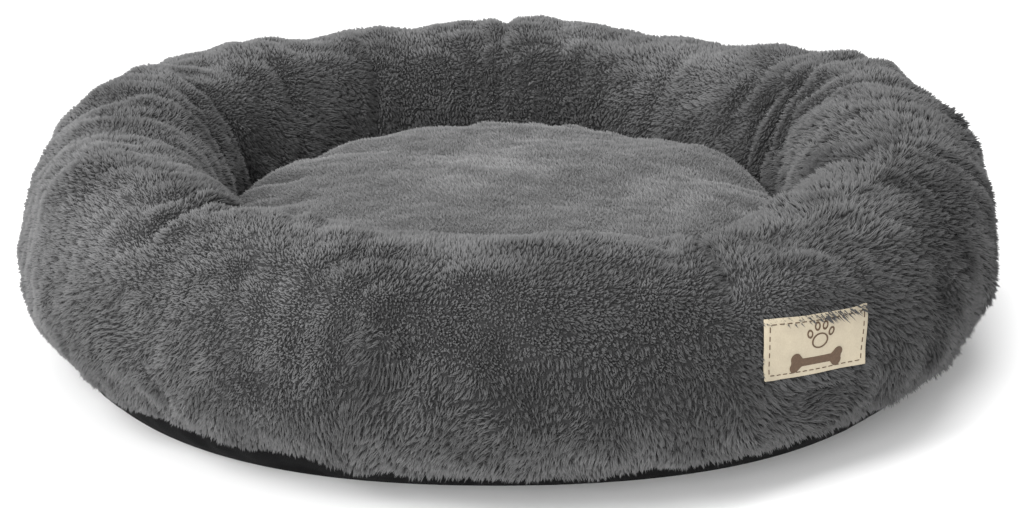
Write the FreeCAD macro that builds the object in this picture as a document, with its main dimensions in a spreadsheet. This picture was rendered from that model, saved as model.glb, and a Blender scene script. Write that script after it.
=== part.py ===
"""Round pet bed with a stuffed plush ring and a loose, zipped cushion in its well.

Millimetres and degrees, +Z up.  The origin is on the floor under the middle of the bed, and -Y is
the front.  Azimuths are measured about +Z from +X, so the front is at -90 and the rear at 90.
"""
import FreeCAD, Part
import math
import os

import Sketcher

DRIVING_SIZES = [
    # the ring: a stuffed tube, bent into a circle
    ("ring_radius", 272.0, "centre of the bed to the middle of the tube"),
    ("tube_radius", 78.0, "middle of the tube to the tips of its pile"),
    ("tube_sink", 6.0, "how far the tube would reach under the floor if its underside were round"),
    ("plush_thickness", 12.0, "ring cover, backing cloth and pile together"),
    ("liner_thickness", 1.0, "non-woven casing round each filling"),
    ("outer_seam_height", 14.0, "where the ring cover meets the base band"),
    ("inner_seam_height", 4.5, "where the ring cover meets the base inside the well"),
    ("seam_gap", 0.3, "space left between neighbouring pieces of cloth"),
    # the five cover panels, each from its own seam to the next one
    ("seam_front_right", -66.0, "azimuth of the seam beside the label"),
    ("seam_right", 25.0, "azimuth of the right-hand seam"),
    ("seam_rear", 91.0, "azimuth of the rear seam"),
    ("seam_left", 163.0, "azimuth of the left-hand seam"),
    ("seam_front_left", 235.0, "azimuth of the front left seam"),
    # the base
    ("base_spread", 28.0, "middle of the tube to the outer edge of the base, on the floor"),
    ("base_thickness", 2.0, "non-slip base cloth"),
    ("band_thickness", 2.6, "folded black cloth between the base and the ring cover"),
    ("floor_cloth_thickness", 1.2, "cloth on the floor of the well"),
    # the loose cushion
    ("well_clearance", 1.0, "cushion to the narrowest part of the well"),
    ("cushion_top", 104.0, "middle of the cushion's crown above the floor"),
    ("shoulder_height", 57.8, "where the cushion's side starts to round over"),
    ("shoulder_radius", 25.0, "rounding between the crown and the side"),
    ("cushion_plush", 7.0, "cushion cover, backing cloth and pile together"),
    ("border_thickness", 2.0, "plain border cloth, hemmed"),
    ("border_top", 50.0, "seam between the plush top and the border"),
    ("corner_radius", 10.0, "rounding of the cushion's lower edge"),
    ("bottom_thickness", 1.5, "plain cloth under the cushion"),
    # the zip in the rear of the border
    ("zip_azimuth", 90.0, "middle of the zip"),
    ("zip_sweep", 76.0, "arc covered by the zip"),
    ("zip_height", 22.0, "middle of the zip above the floor"),
    ("tape_reach", 7.0, "outer edge of each tape from the middle of the zip"),
    ("tape_hem", 1.8, "width of the sewn edge of each tape"),
    ("tape_stand", 1.5, "back of the tape above the border"),
    ("tape_thickness", 0.6, "zip tape"),
    ("coil_depth", 1.8, "thickness of the coil, tape included"),
    ("coil_reach", 2.1, "outer edge of each half of the coil from the middle of the zip"),
    ("coil_slot", 0.5, "inner edge of each half of the coil from the middle of the zip"),
    ("stop_length", 2.0, "metal stop at each end of the coil"),
    ("window_reach", 3.0, "half the height of the opening behind the zip"),
    ("slider_length", 9.0, "zip slider along the zip"),
    ("slider_width", 8.0, "zip slider across the zip"),
    ("slider_plate", 0.8, "thickness of each slider plate"),
    ("slider_clearance", 0.35, "slider to border, tape and coil"),
    ("slider_park", 2.0, "arc from the zip's end to the slider's middle when the zip is shut"),
    ("slider_web", 0.35, "wedge that joins the two plates between the coil halves"),
    ("bar_height", 5.9, "bar that carries the pull, above the border"),
    ("bar_radius", 0.5, "bar that carries the pull"),
    ("post_reach", 3.0, "outer face of the posts that hold the bar"),
    ("post_thickness", 0.8, "posts that hold the bar"),
    ("eye_clearance", 0.3, "pull to bar, and pull to posts"),
    ("eye_wall", 0.3, "wall of the pull's eye"),
    ("pull_length", 16.0, "bar to the end of the pull"),
    ("pull_width", 6.0, "pull across the zip"),
    ("pull_thickness", 1.0, "pull"),
    ("pull_neck", 3.0, "bar to where the pull widens"),
    ("pull_hole", 1.5, "radius of the hole near the pull's end"),
    # the label on the front right of the ring
    ("label_azimuth", -57.4, "middle of the label"),
    ("label_tilt", 15.5, "middle of the label above the level of the tube's middle"),
    ("label_width", 78.0, "label across"),
    ("label_height", 42.0, "label up and down"),
    ("label_thickness", 1.2, "leatherette label"),
    ("stitch_inset", 4.0, "stitch line inside the edge of the label"),
    ("stitch_length", 3.6, "one stitch"),
    ("stitch_pitch", 6.0, "stitch to stitch"),
    ("stitch_width", 0.9, "thread"),
    ("stitch_height", 0.5, "thread above the label"),
    ("motif_height", 0.4, "printed motif above the label"),
    ("paw_pad", 5.6, "radius of the large pad of the paw motif"),
    ("paw_toe", 2.5, "radius of each toe of the paw motif"),
    ("paw_spread", 8.6, "large pad to the middle of each toe"),
]
PANELS = ("front_right", "right", "rear", "left", "front_left")
STITCH_LIFT = 0.05     # keeps the thread off the label's surface
TOE_ANGLES = (25.0, 68.0, 112.0, 155.0)

doc = FreeCAD.newDocument("pet_bed")
sheet = doc.addObject("Spreadsheet::Sheet", "Sizes")
sub_parts = []
rows_used = 0


def write_sizes(rows):
    """Add rows of (alias, value, meaning) to the sheet."""
    global rows_used
    for alias, value, meaning in rows:
        rows_used += 1
        sheet.set(f"A{rows_used}", meaning)
        sheet.set(f"B{rows_used}", f"{value:.6f}")
        sheet.setAlias(f"B{rows_used}", alias)
    doc.recompute()


def size(words):
    """Value of a sum of named sizes, such as 'ring_radius - tube_radius'."""
    total, sign = 0.0, 1.0
    for word in words.split():
        if word in "+-":
            sign = 1.0 if word == "+" else -1.0
        elif word != "0":
            total += sign * float(sheet.get(word))
    return total


def formula(words):
    """The same sum as an expression that a property can be bound to."""
    return " ".join(word if word in "+-" else f"Sizes.{word}" for word in words.split())


def on_tube(radius, angle):
    """Point of the tube's round section, as distance from the bed's axis and height."""
    turn = math.radians(angle)
    return (size("ring_radius") + radius * math.cos(turn),
            size("tube_height") + radius * math.sin(turn))


def polar(radius, azimuth, height=0.0):
    turn = math.radians(azimuth)
    return FreeCAD.Vector(radius * math.cos(turn), radius * math.sin(turn), height)


# ---------------------------------------------------------------- sizes that follow from others
def seam_rows():
    """Edges of the ring cover, where its outer and inner faces reach each seam height."""
    rows = []
    outer, inner = size("tube_radius"), size("tube_radius - plush_thickness")
    for side, seam in (("outer", "outer_seam_height"), ("inner", "inner_seam_height")):
        angle = math.degrees(math.asin((size(seam) - size("tube_height")) / outer))
        if side == "inner":
            angle = 180.0 - angle
        for face, radius in (("pile", outer), ("back", inner)):
            reach, height = on_tube(radius, angle)
            rows.append((f"{side}_{face}_reach", reach, f"{side} edge of the cover, {face} side"))
            rows.append((f"{side}_{face}_rise", height, f"{side} edge of the cover, {face} side"))
    return rows


def panel_rows():
    """Arc of each cover panel, from its seam to the next one."""
    starts = [size(f"seam_{name}") for name in PANELS]
    ends = starts[1:] + [starts[0] + 360.0]
    gap = math.degrees(size("seam_gap") / size("ring_radius - tube_radius"))
    return [(f"sweep_{name}", end - start - gap, f"arc of the {name} panel")
            for name, start, end in zip(PANELS, starts, ends)]


def crown_rows():
    """Where crown and shoulder meet, for each layer of the cushion."""
    shoulder, shoulder_rise = size("shoulder_radius"), size("shoulder_height")
    shoulder_reach = size("cushion_radius") - shoulder
    # the crown is the part of a sphere that meets the shoulder without a ridge
    drop = size("cushion_top") - shoulder_rise
    crown = (shoulder_reach ** 2 + drop ** 2 - shoulder ** 2) / (2.0 * (drop - shoulder))
    lean = math.atan2(crown - drop, shoulder_reach)
    layers = {"pile": 0.0, "back": size("cushion_plush")}
    layers["liner"] = size("cushion_radius - border_radius + border_thickness + seam_gap")
    layers["hollow"] = layers["liner"] + size("liner_thickness")
    layers["fill"] = layers["hollow"] + size("seam_gap")
    rows = []
    for name, inset in layers.items():
        rows.append((f"{name}_side", size("cushion_radius") - inset, f"side of the {name} layer"))
        rows.append((f"{name}_top", size("cushion_top") - inset, f"crown of the {name} layer"))
        rows.append((f"{name}_crown", crown - inset, f"crown radius of the {name} layer"))
        rows.append((f"{name}_shoulder", shoulder - inset, f"shoulder radius of the {name} layer"))
        rows.append((f"{name}_edge_reach", shoulder_reach + (shoulder - inset) * math.cos(lean),
                     f"edge of the crown of the {name} layer"))
        rows.append((f"{name}_edge_rise", shoulder_rise + (shoulder - inset) * math.sin(lean),
                     f"edge of the crown of the {name} layer"))
    return rows


def label_rows():
    """Corners of the label's section and of the printed layer on it, and the arc they cover."""
    back = size("tube_radius + seam_gap")
    front = back + size("label_thickness")
    ink = front + size("motif_height")
    half_turn = math.degrees(size("label_height") / front / 2.0)
    rows = [("label_back", back, "tube's middle to the label's back"),
            ("label_front", front, "tube's middle to the label's face"),
            ("label_ink", ink, "tube's middle to the face of the printed motif")]
    for layer, radius in (("back", back), ("front", front), ("ink", ink)):
        for edge, turn in (("low", -half_turn), ("high", half_turn)):
            reach, rise = on_tube(radius, size("label_tilt") + turn)
            rows.append((f"label_{layer}_{edge}_reach", reach, f"{edge} edge of the label, {layer}"))
            rows.append((f"label_{layer}_{edge}_rise", rise, f"{edge} edge of the label, {layer}"))
    middle_reach = on_tube(front, size("label_tilt"))[0]
    rows.append(("label_sweep", math.degrees(size("label_width") / middle_reach),
                 "arc covered by the label"))
    return rows


write_sizes([("full_turn", 360.0, "a whole turn")] + DRIVING_SIZES)
write_sizes([
    ("tube_height", size("tube_radius - tube_sink"), "middle of the tube above the floor"),
    ("tube_back", size("tube_radius - plush_thickness"), "tube's middle to the cover's back"),
    ("base_radius", size("ring_radius + base_spread"), "outer edge of the base on the floor"),
    ("panel_radius", size("ring_radius + base_spread - band_thickness - seam_gap"),
     "base cloth inside the band"),
    ("cushion_radius", size("ring_radius - tube_radius - well_clearance"),
     "outside of the cushion's plush"),
    ("border_radius", size("ring_radius - tube_radius - well_clearance - cushion_plush"),
     "outside of the plain border cloth"),
    ("fill_corner", size("corner_radius - liner_thickness - seam_gap"),
     "rounding of the filling's lower edge"),
    ("slider_start", size("zip_azimuth - zip_sweep") + size("zip_sweep") / 2.0
     + size("slider_park"), "azimuth of the slider when the zip is shut"),
    ("well_floor", size("base_thickness + seam_gap"), "underside of the well's floor cloth"),
    ("cushion_base", size("base_thickness + seam_gap + floor_cloth_thickness + seam_gap"),
     "underside of the cushion"),
    ("liner_radius", size("tube_radius - plush_thickness - seam_gap"), "ring liner, outside"),
    ("liner_bore", size("tube_radius - plush_thickness - seam_gap - liner_thickness"),
     "ring liner, inside"),
    ("stuffing_radius", size("tube_radius - plush_thickness - seam_gap - liner_thickness - seam_gap"),
     "ring filling"),
])
write_sizes(seam_rows() + panel_rows() + crown_rows() + label_rows())


# ---------------------------------------------------------------- builders
def keep(shape_object, label):
    """Register one finished sub-part under the name of its file."""
    shape_object.Label = label
    sub_parts.append(shape_object)
    return shape_object


def arc_centre(start, end, radius, side):
    """Centre of an arc of this radius from start to end; side 1 turns left, -1 turns right."""
    chord = end - start
    half = chord.Length / 2.0
    across = FreeCAD.Vector(-chord.y, chord.x, 0).normalize()
    return (start + end) * 0.5 + across * (side * math.sqrt(max(radius ** 2 - half ** 2, 0.0)))


def add_edge(sketch, start, end, radius, side):
    """Add a line, or an arc when a radius is given; return its index and its end numbers."""
    if radius is None:
        return sketch.addGeometry(Part.LineSegment(start, end), False), 1, 2
    centre = arc_centre(start, end, radius, side)
    circle = Part.Circle(centre, FreeCAD.Vector(0, 0, 1), radius)
    first, last = (start, end) if side > 0 else (end, start)
    angles = [math.atan2(point.y - centre.y, point.x - centre.x) for point in (first, last)]
    index = sketch.addGeometry(Part.ArcOfCircle(circle, *angles), False)
    return (index, 1, 2) if side > 0 else (index, 2, 1)


def pin_point(sketch, index, number, reach, rise):
    """Tie one corner of the outline to its named distance from the axis and height."""
    for kind, words, axis in (("DistanceX", reach, -2), ("DistanceY", rise, -1)):
        if words == "0":
            sketch.addConstraint(Sketcher.Constraint("PointOnObject", index, number, axis))
        else:
            at = sketch.addConstraint(
                Sketcher.Constraint(kind, -1, 1, index, number, size(words)))
            sketch.setExpression(f"Constraints[{at}]", formula(words))


def outline_sketch(body, name, outline):
    """Closed sketch on the body's XZ plane from corners (reach, rise[, arc radius, side])."""
    plane = next(item for item in body.Origin.OriginFeatures if item.Role == "XZ_Plane")
    sketch = body.newObject("Sketcher::SketchObject", name)
    sketch.AttachmentSupport = [(plane, "")]
    sketch.MapMode = "FlatFace"
    corners = [FreeCAD.Vector(size(corner[0]), size(corner[1]), 0) for corner in outline]
    edges = []
    for number, corner in enumerate(outline):
        words, side = (corner[2], corner[3]) if len(corner) > 2 else (None, 1)
        radius = size(words) if words else None
        following = corners[(number + 1) % len(corners)]
        edges.append(add_edge(sketch, corners[number], following, radius, side))
    for number, (index, start, end) in enumerate(edges):
        following, next_start, _ = edges[(number + 1) % len(edges)]
        sketch.addConstraint(Sketcher.Constraint("Coincident", index, end, following, next_start))
    for number, ((index, start, end), corner) in enumerate(zip(edges, outline)):
        pin_point(sketch, index, start, corner[0], corner[1])
        meets_axis = "0" in (corner[0], outline[(number + 1) % len(outline)][0])
        if len(corner) > 2 and meets_axis:
            # a crown is part of a sphere, whose centre has to lie exactly on the bed's axis
            sketch.addConstraint(Sketcher.Constraint("PointOnObject", index, 3, -2))
        elif len(corner) > 2:
            at = sketch.addConstraint(Sketcher.Constraint("Radius", index, size(corner[2])))
            sketch.setExpression(f"Constraints[{at}]", formula(corner[2]))
    return sketch


def revolved(label, outline, sweep="full_turn", start=0.0):
    """Body made by turning an outline about the bed's axis, from the azimuth start."""
    body = doc.addObject("PartDesign::Body", label)
    sketch = outline_sketch(body, f"{label}_outline", outline)
    turn = body.newObject("PartDesign::Revolution", f"{label}_turn")
    turn.Profile = sketch
    turn.ReferenceAxis = (sketch, ["V_Axis"])
    turn.setExpression("Angle", formula(sweep))
    sketch.Visibility = False
    body.Placement = FreeCAD.Placement(FreeCAD.Vector(),
                                       FreeCAD.Rotation(FreeCAD.Vector(0, 0, 1), start))
    return body


def bind(shape_object, **formulas):
    """Bind properties to expressions; x, y and z are the position."""
    for name, words in formulas.items():
        target = f"Placement.Base.{name}" if name in ("x", "y", "z") else name
        shape_object.setExpression(target, words)
    return shape_object


def block(name, **formulas):
    return bind(doc.addObject("Part::Box", name), **formulas)


def rod(name, **formulas):
    return bind(doc.addObject("Part::Cylinder", name), **formulas)


def gathered(kind, name, members):
    """Compound or fusion of several shapes."""
    group = doc.addObject(kind, name)
    if kind == "Part::Compound":
        group.Links = members
    else:
        group.Shapes = members
    return group


# ---------------------------------------------------------------- the ring
def tube_arcs(radius, first, last, turn):
    """Corners of an arc round the tube's section by way of its widest points and its crest."""
    middle, height = "ring_radius", "tube_height"
    outside, crest = (f"{middle} + {radius}", height), (middle, f"{height} + {radius}")
    inside = (f"{middle} - {radius}", height)
    stations = [first, outside, crest, inside] if turn > 0 else [first, inside, crest, outside]
    return [(reach, rise, radius, turn) for reach, rise in stations] + [last]


def make_ring_panels():
    """Five plush panels round the tube, open below where the base closes it."""
    outer_pile = ("outer_pile_reach", "outer_pile_rise")
    inner_pile = ("inner_pile_reach", "inner_pile_rise")
    outer_back = ("outer_back_reach", "outer_back_rise")
    inner_back = ("inner_back_reach", "inner_back_rise")
    outline = (tube_arcs("tube_radius", outer_pile, inner_pile, 1)
               + tube_arcs("tube_back", inner_back, outer_back, -1))
    for name in PANELS:
        keep(revolved(f"ring_cover_{name}", outline, f"sweep_{name}", size(f"seam_{name}")),
             f"ring_cover_{name}")


def round_tube(label, radii):
    """Closed ring of round section; a second radius makes it hollow."""
    solids = []
    for number, radius in enumerate(radii):
        torus = doc.addObject("Part::Torus", f"{label}_{number}")
        bind(torus, Radius1="Sizes.ring_radius", Radius2=f"Sizes.{radius}", z="Sizes.tube_height")
        solids.append(torus)
    if len(solids) == 1:
        return keep(solids[0], label)
    cut = doc.addObject("Part::Cut", label)
    cut.Base, cut.Tool = solids
    return keep(cut, label)


def make_base():
    """Non-slip base, the band that joins it to the ring cover, and the floor of the well."""
    keep(revolved("base_panel", [("0", "0"), ("panel_radius", "0"),
                                 ("panel_radius", "base_thickness"), ("0", "base_thickness")]),
         "base_panel")
    keep(revolved("base_band", [
        ("base_radius - band_thickness", "0"),
        ("base_radius", "0"),
        ("outer_pile_reach - seam_gap", "outer_seam_height - seam_gap"),
        ("outer_pile_reach - seam_gap - band_thickness", "outer_seam_height + seam_gap"),
        ("base_radius - band_thickness", "base_thickness"),
    ]), "base_band")
    keep(revolved("well_floor_cloth", [
        ("0", "well_floor"), ("inner_pile_reach - seam_gap", "well_floor"),
        ("inner_pile_reach - seam_gap", "well_floor + floor_cloth_thickness"),
        ("0", "well_floor + floor_cloth_thickness"),
    ]), "well_floor_cloth")


# ---------------------------------------------------------------- the label
def on_label(across, up, lift):
    """Placement on the label's face: local X runs right, Y up the face and Z out of it."""
    radius = size("label_front")
    angle = size("label_tilt") + math.degrees(up / radius)
    reach = on_tube(radius, angle)[0]
    azimuth = size("label_azimuth") + math.degrees(across / reach)
    reach, rise = on_tube(radius + lift, angle)
    facing = FreeCAD.Rotation(FreeCAD.Vector(0, 0, 1), azimuth + 90.0)
    leaning = FreeCAD.Rotation(FreeCAD.Vector(1, 0, 0), 90.0 - angle)
    return FreeCAD.Placement(polar(reach, azimuth, rise), facing.multiply(leaning))


def label_patch(label, inner, outer):
    """Thin piece that follows the tube between two radii, as wide and high as the label."""
    corners = [(f"label_{layer}_{edge}_reach", f"label_{layer}_{edge}_rise")
               for layer, edge in ((outer, "low"), (outer, "high"), (inner, "high"), (inner, "low"))]
    outline = [corners[0] + (f"label_{outer}", 1), corners[1],
               corners[2] + (f"label_{inner}", -1), corners[3]]
    start = size("label_azimuth") - size("label_sweep") / 2.0
    return revolved(label, outline, "label_sweep", start)


def stitch_places():
    """Middle and direction of each stitch, round the inset rectangle."""
    places = []
    wide = size("label_width - stitch_inset - stitch_inset")
    high = size("label_height - stitch_inset - stitch_inset")
    for run, offset, turn in ((wide, high / 2.0, 0.0), (high, wide / 2.0, 90.0)):
        count = int(run / size("stitch_pitch"))
        for number in range(count):
            along = (number + 0.5) * run / count - run / 2.0
            for side in (-1.0, 1.0):
                spot = (along, side * offset) if turn == 0.0 else (side * offset, along)
                places.append((spot[0], spot[1], turn))
    return places


def make_label():
    keep(label_patch("label", "back", "front"), "label")
    stitches = []
    for number, (across, up, turn) in enumerate(stitch_places()):
        stitch = block(f"stitch_{number}", Length="Sizes.stitch_length",
                       Width="Sizes.stitch_width", Height="Sizes.stitch_height")
        centred = FreeCAD.Placement(
            FreeCAD.Vector(-size("stitch_length") / 2.0, -size("stitch_width") / 2.0, STITCH_LIFT),
            FreeCAD.Rotation())
        turned = FreeCAD.Placement(FreeCAD.Vector(),
                                   FreeCAD.Rotation(FreeCAD.Vector(0, 0, 1), turn))
        stitch.Placement = on_label(across, up, 0.0).multiply(turned).multiply(centred)
        stitches.append(stitch)
    keep(gathered("Part::Compound", "stitches", stitches), "label_stitches")
    printed = label_patch("printed_layer", "front", "ink")
    spots = [("paw_pad", 0.0, -size("paw_toe"))]
    for angle in TOE_ANGLES:
        toe = polar(size("paw_spread"), angle)
        spots.append(("paw_toe", toe.x, toe.y - size("paw_toe")))
    punches = []
    for number, (radius, across, up) in enumerate(spots):
        punch = rod(f"punch_{number}", Radius=f"Sizes.{radius}", Height="Sizes.label_height")
        punch.Placement = on_label(across, up, -size("label_height") / 2.0)
        punches.append(punch)
    paw = doc.addObject("Part::Common", "paw")
    paw.Base = printed
    paw.Tool = gathered("Part::Compound", "punches", punches)
    keep(paw, "label_motif")


# ---------------------------------------------------------------- the cushion
def crown_down(layer, foot):
    """Outside of one cushion layer, from the middle of its crown down its side to foot."""
    return [("0", f"{layer}_top", f"{layer}_crown", -1),
            (f"{layer}_edge_reach", f"{layer}_edge_rise", f"{layer}_shoulder", -1),
            (f"{layer}_side", "shoulder_height"), (f"{layer}_side", foot)]


def crown_up(layer, foot):
    """The same outside, walked the other way."""
    return [(f"{layer}_side", foot), (f"{layer}_side", "shoulder_height", f"{layer}_shoulder", 1),
            (f"{layer}_edge_reach", f"{layer}_edge_rise", f"{layer}_crown", 1),
            ("0", f"{layer}_top")]


def make_cushion():
    keep(revolved("cushion_top_cover", crown_down("pile", "border_top")
                  + crown_up("back", "border_top")), "cushion_top_cover")
    keep(revolved("cushion_bottom_cover", [
        ("0", "cushion_base"),
        ("border_radius - corner_radius", "cushion_base", "corner_radius", 1),
        ("border_radius", "cushion_base + corner_radius"),
        ("border_radius - bottom_thickness", "cushion_base + corner_radius",
         "corner_radius - bottom_thickness", -1),
        ("border_radius - corner_radius", "cushion_base + bottom_thickness"),
        ("0", "cushion_base + bottom_thickness"),
    ]), "cushion_bottom_cover")
    liner_foot = "cushion_base + bottom_thickness + seam_gap"
    hollow_foot = f"{liner_foot} + liner_thickness"
    liner_low = f"{liner_foot} + corner_radius"
    keep(revolved("cushion_liner", crown_down("liner", liner_low)[:-1] + [
        ("liner_side", liner_low, "corner_radius", -1),
        ("liner_side - corner_radius", liner_foot), ("0", liner_foot), ("0", hollow_foot),
        ("liner_side - corner_radius", hollow_foot, "corner_radius - liner_thickness", 1),
    ] + crown_up("hollow", liner_low)), "cushion_liner")
    fill_foot = f"{hollow_foot} + seam_gap"
    keep(revolved("cushion_fill", crown_down("fill", liner_low)[:-1] + [
        ("fill_side", liner_low, "fill_corner", -1),
        ("liner_side - corner_radius", fill_foot), ("0", fill_foot),
    ]), "cushion_fill")
    make_border()


def make_border():
    """Plain border cloth, with the opening that the zip closes."""
    start = size("zip_azimuth") - size("zip_sweep") / 2.0
    border = revolved("cushion_border", [
        ("border_radius - border_thickness", "cushion_base + corner_radius + seam_gap"),
        ("border_radius", "cushion_base + corner_radius + seam_gap"),
        ("border_radius", "border_top - seam_gap"),
        ("border_radius - border_thickness", "border_top - seam_gap"),
    ], start=start)
    doc.recompute()
    whole = border.Shape.Volume
    window = outline_sketch(border, "zip_window_outline", [
        ("border_radius - border_thickness - seam_gap", "zip_height - window_reach"),
        ("border_radius + seam_gap", "zip_height - window_reach"),
        ("border_radius + seam_gap", "zip_height + window_reach"),
        ("border_radius - border_thickness - seam_gap", "zip_height + window_reach"),
    ])
    groove = border.newObject("PartDesign::Groove", "zip_window")
    groove.Profile = window
    groove.ReferenceAxis = (window, ["V_Axis"])
    bind(groove, Angle="Sizes.zip_sweep")
    doc.recompute()
    if border.Shape.Volume >= whole:
        raise RuntimeError("the zip's opening was not cut")
    keep(border, "cushion_border")


# ---------------------------------------------------------------- the zip
def make_tape(label, side):
    """One zip tape with its half of the coil; side is '+' above the zip's middle, '-' below."""
    wall, middle = "border_radius", f"zip_height {side}"
    back, face = f"{wall} + tape_stand", f"{wall} + tape_stand + tape_thickness"
    coil, hem = f"{wall} + tape_stand + coil_depth", f"{middle} tape_reach"
    hem_end = f"{hem} {'-' if side == '+' else '+'} tape_hem"
    outline = [(f"{wall} + seam_gap", hem), (face, hem), (face, f"{middle} coil_reach"),
               (coil, f"{middle} coil_reach"), (coil, f"{middle} coil_slot"),
               (back, f"{middle} coil_slot"), (back, hem_end), (f"{wall} + seam_gap", hem_end)]
    start = size("zip_azimuth") - size("zip_sweep") / 2.0
    keep(revolved(label, outline, "zip_sweep", start), label)


def at_zip(azimuth, radius="border_radius"):
    """Placement on the border: local X runs along the zip, Y out of it and Z up."""
    return FreeCAD.Placement(polar(size(radius), azimuth, size("zip_height")),
                             FreeCAD.Rotation(FreeCAD.Vector(0, 0, 1), azimuth - 90.0))


def make_stops():
    """Metal stops just past both ends of the coil."""
    stops = []
    beyond = math.degrees((size("stop_length") / 2.0 + size("seam_gap")) / size("border_radius"))
    for number, side in enumerate((-1.0, 1.0)):
        stop = block(f"stop_{number}", Length="Sizes.stop_length", Width="Sizes.coil_depth",
                     Height="2 * Sizes.coil_reach")
        corner = FreeCAD.Vector(-size("stop_length") / 2.0, size("tape_stand"),
                                -size("coil_reach"))
        azimuth = size("zip_azimuth") + side * (size("zip_sweep") / 2.0 + beyond)
        stop.Placement = at_zip(azimuth).multiply(
            FreeCAD.Placement(corner, FreeCAD.Rotation()))
        stops.append(stop)
    keep(gathered("Part::Compound", "stops", stops), "zip_stops")


def make_slider():
    """Two plates round the coil, the wedge between its halves, and the bar for the pull."""
    length, width = "-Sizes.slider_length / 2", "-Sizes.slider_width / 2"
    plate = dict(Length="Sizes.slider_length", Width="Sizes.slider_plate",
                 Height="Sizes.slider_width", x=length, z=width)
    face = "Sizes.tape_stand + Sizes.coil_depth + Sizes.slider_clearance"
    back = "Sizes.tape_stand - Sizes.slider_clearance - Sizes.slider_plate"
    pieces = [block("back_plate", y=back, **plate), block("front_plate", y=face, **plate)]
    pieces.append(block("wedge", Length="2 mm", Width=f"({face}) - ({back})",
                        Height="Sizes.slider_web", x="-1 mm", y=back, z="-Sizes.slider_web / 2"))
    lip = "Sizes.coil_reach + Sizes.slider_clearance"
    for side in ("low", "high"):
        pieces.append(block(
            f"lip_{side}", Length="Sizes.slider_length", x=length,
            Width="Sizes.coil_depth - Sizes.tape_thickness",
            y="Sizes.tape_stand + Sizes.tape_thickness + Sizes.slider_clearance",
            Height=f"Sizes.slider_width / 2 - ({lip})", z=width if side == "low" else lip))
        pieces.append(block(
            f"post_{side}", Length="2 * Sizes.bar_radius", x="-Sizes.bar_radius", y=face,
            Width=f"Sizes.bar_height + Sizes.bar_radius - ({face})",
            Height="Sizes.post_thickness",
            z="-Sizes.post_reach" if side == "low" else "Sizes.post_reach - Sizes.post_thickness"))
    pieces.append(rod("bar", Radius="Sizes.bar_radius", Height="2 * Sizes.post_reach",
                      y="Sizes.bar_height", z="-Sizes.post_reach"))
    slider = gathered("Part::MultiFuse", "slider", pieces)
    slider.Placement = at_zip(size("slider_start"))
    keep(slider, "zip_slider")


def make_pull():
    """Flat pull with an eye that turns on the slider's bar."""
    bore = "Sizes.bar_radius + Sizes.eye_clearance"
    eye = f"{bore} + Sizes.eye_wall"
    neck = "Sizes.post_reach - Sizes.post_thickness - Sizes.eye_clearance"
    across = "-Sizes.pull_thickness / 2"
    solid = [
        rod("eye", Radius=eye, Height=f"2 * ({neck})", z=f"-({neck})"),
        block("neck", Length="Sizes.pull_neck", Width="Sizes.pull_thickness",
              Height=f"2 * ({neck})", y=across, z=f"-({neck})"),
        block("tab", Length="Sizes.pull_length - Sizes.pull_neck", Width="Sizes.pull_thickness",
              Height="Sizes.pull_width", x="Sizes.pull_neck", y=across, z="-Sizes.pull_width / 2"),
    ]
    bar_hole = rod("bar_hole", Radius=bore, Height="Sizes.pull_width", z="-Sizes.pull_width / 2")
    grip_hole = rod("grip_hole", Radius="Sizes.pull_hole", Height="2 * Sizes.pull_width")
    grip_hole.Placement = FreeCAD.Placement(
        FreeCAD.Vector(size("pull_length - pull_hole - pull_hole"), size("pull_width"), 0),
        FreeCAD.Rotation(FreeCAD.Vector(1, 0, 0), 90.0))
    pull = doc.addObject("Part::Cut", "pull")
    pull.Base = gathered("Part::MultiFuse", "pull_solid", solid)
    pull.Tool = gathered("Part::Compound", "pull_holes", [bar_hole, grip_hole])
    # the pull lies back over the coil, towards the zip's far end
    lying = FreeCAD.Placement(FreeCAD.Vector(0, size("bar_height"), 0),
                              FreeCAD.Rotation(FreeCAD.Vector(0, 0, 1), 180.0))
    pull.Placement = at_zip(size("slider_start")).multiply(lying)
    keep(pull, "zip_pull")


# ---------------------------------------------------------------- checks and files
def failed_objects():
    return [item.Name for item in doc.Objects
            if "Invalid" in item.State or "Error" in item.State]


def export_parts():
    """Check every object and every sub-part, then write one file for each sub-part."""
    broken = failed_objects()
    if broken:
        raise RuntimeError(f"objects that failed: {broken}")
    for part in sub_parts:
        if part.Shape.isNull() or not part.Shape.isValid() or not part.Shape.Solids:
            raise RuntimeError(f"{part.Label} has no valid solid")
    os.makedirs("parts", exist_ok=True)
    for part in sub_parts:
        part.Shape.exportStep(f"parts/{part.Label}.step")
        box = part.Shape.BoundBox
        print(f"{part.Label:26s} solids {len(part.Shape.Solids):3d}  volume {part.Shape.Volume:12.1f}"
              f"  x {box.XMin:7.1f} {box.XMax:7.1f}  y {box.YMin:7.1f} {box.YMax:7.1f}"
              f"  z {box.ZMin:6.2f} {box.ZMax:6.2f}")


make_ring_panels()
round_tube("ring_liner", ("liner_radius", "liner_bore"))
round_tube("ring_fill", ("stuffing_radius",))
make_base()
make_label()
make_cushion()
make_tape("zip_upper_tape", "+")
make_tape("zip_lower_tape", "-")
make_stops()
make_slider()
make_pull()
doc.recompute()
export_parts()
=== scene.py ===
"""Round pet bed: plush ring, loose cushion, black base, sewn label and zip, on a pale floor."""
import math

import bmesh
import bpy
import numpy as np
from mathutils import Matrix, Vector
from mathutils.bvhtree import BVHTree


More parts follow.
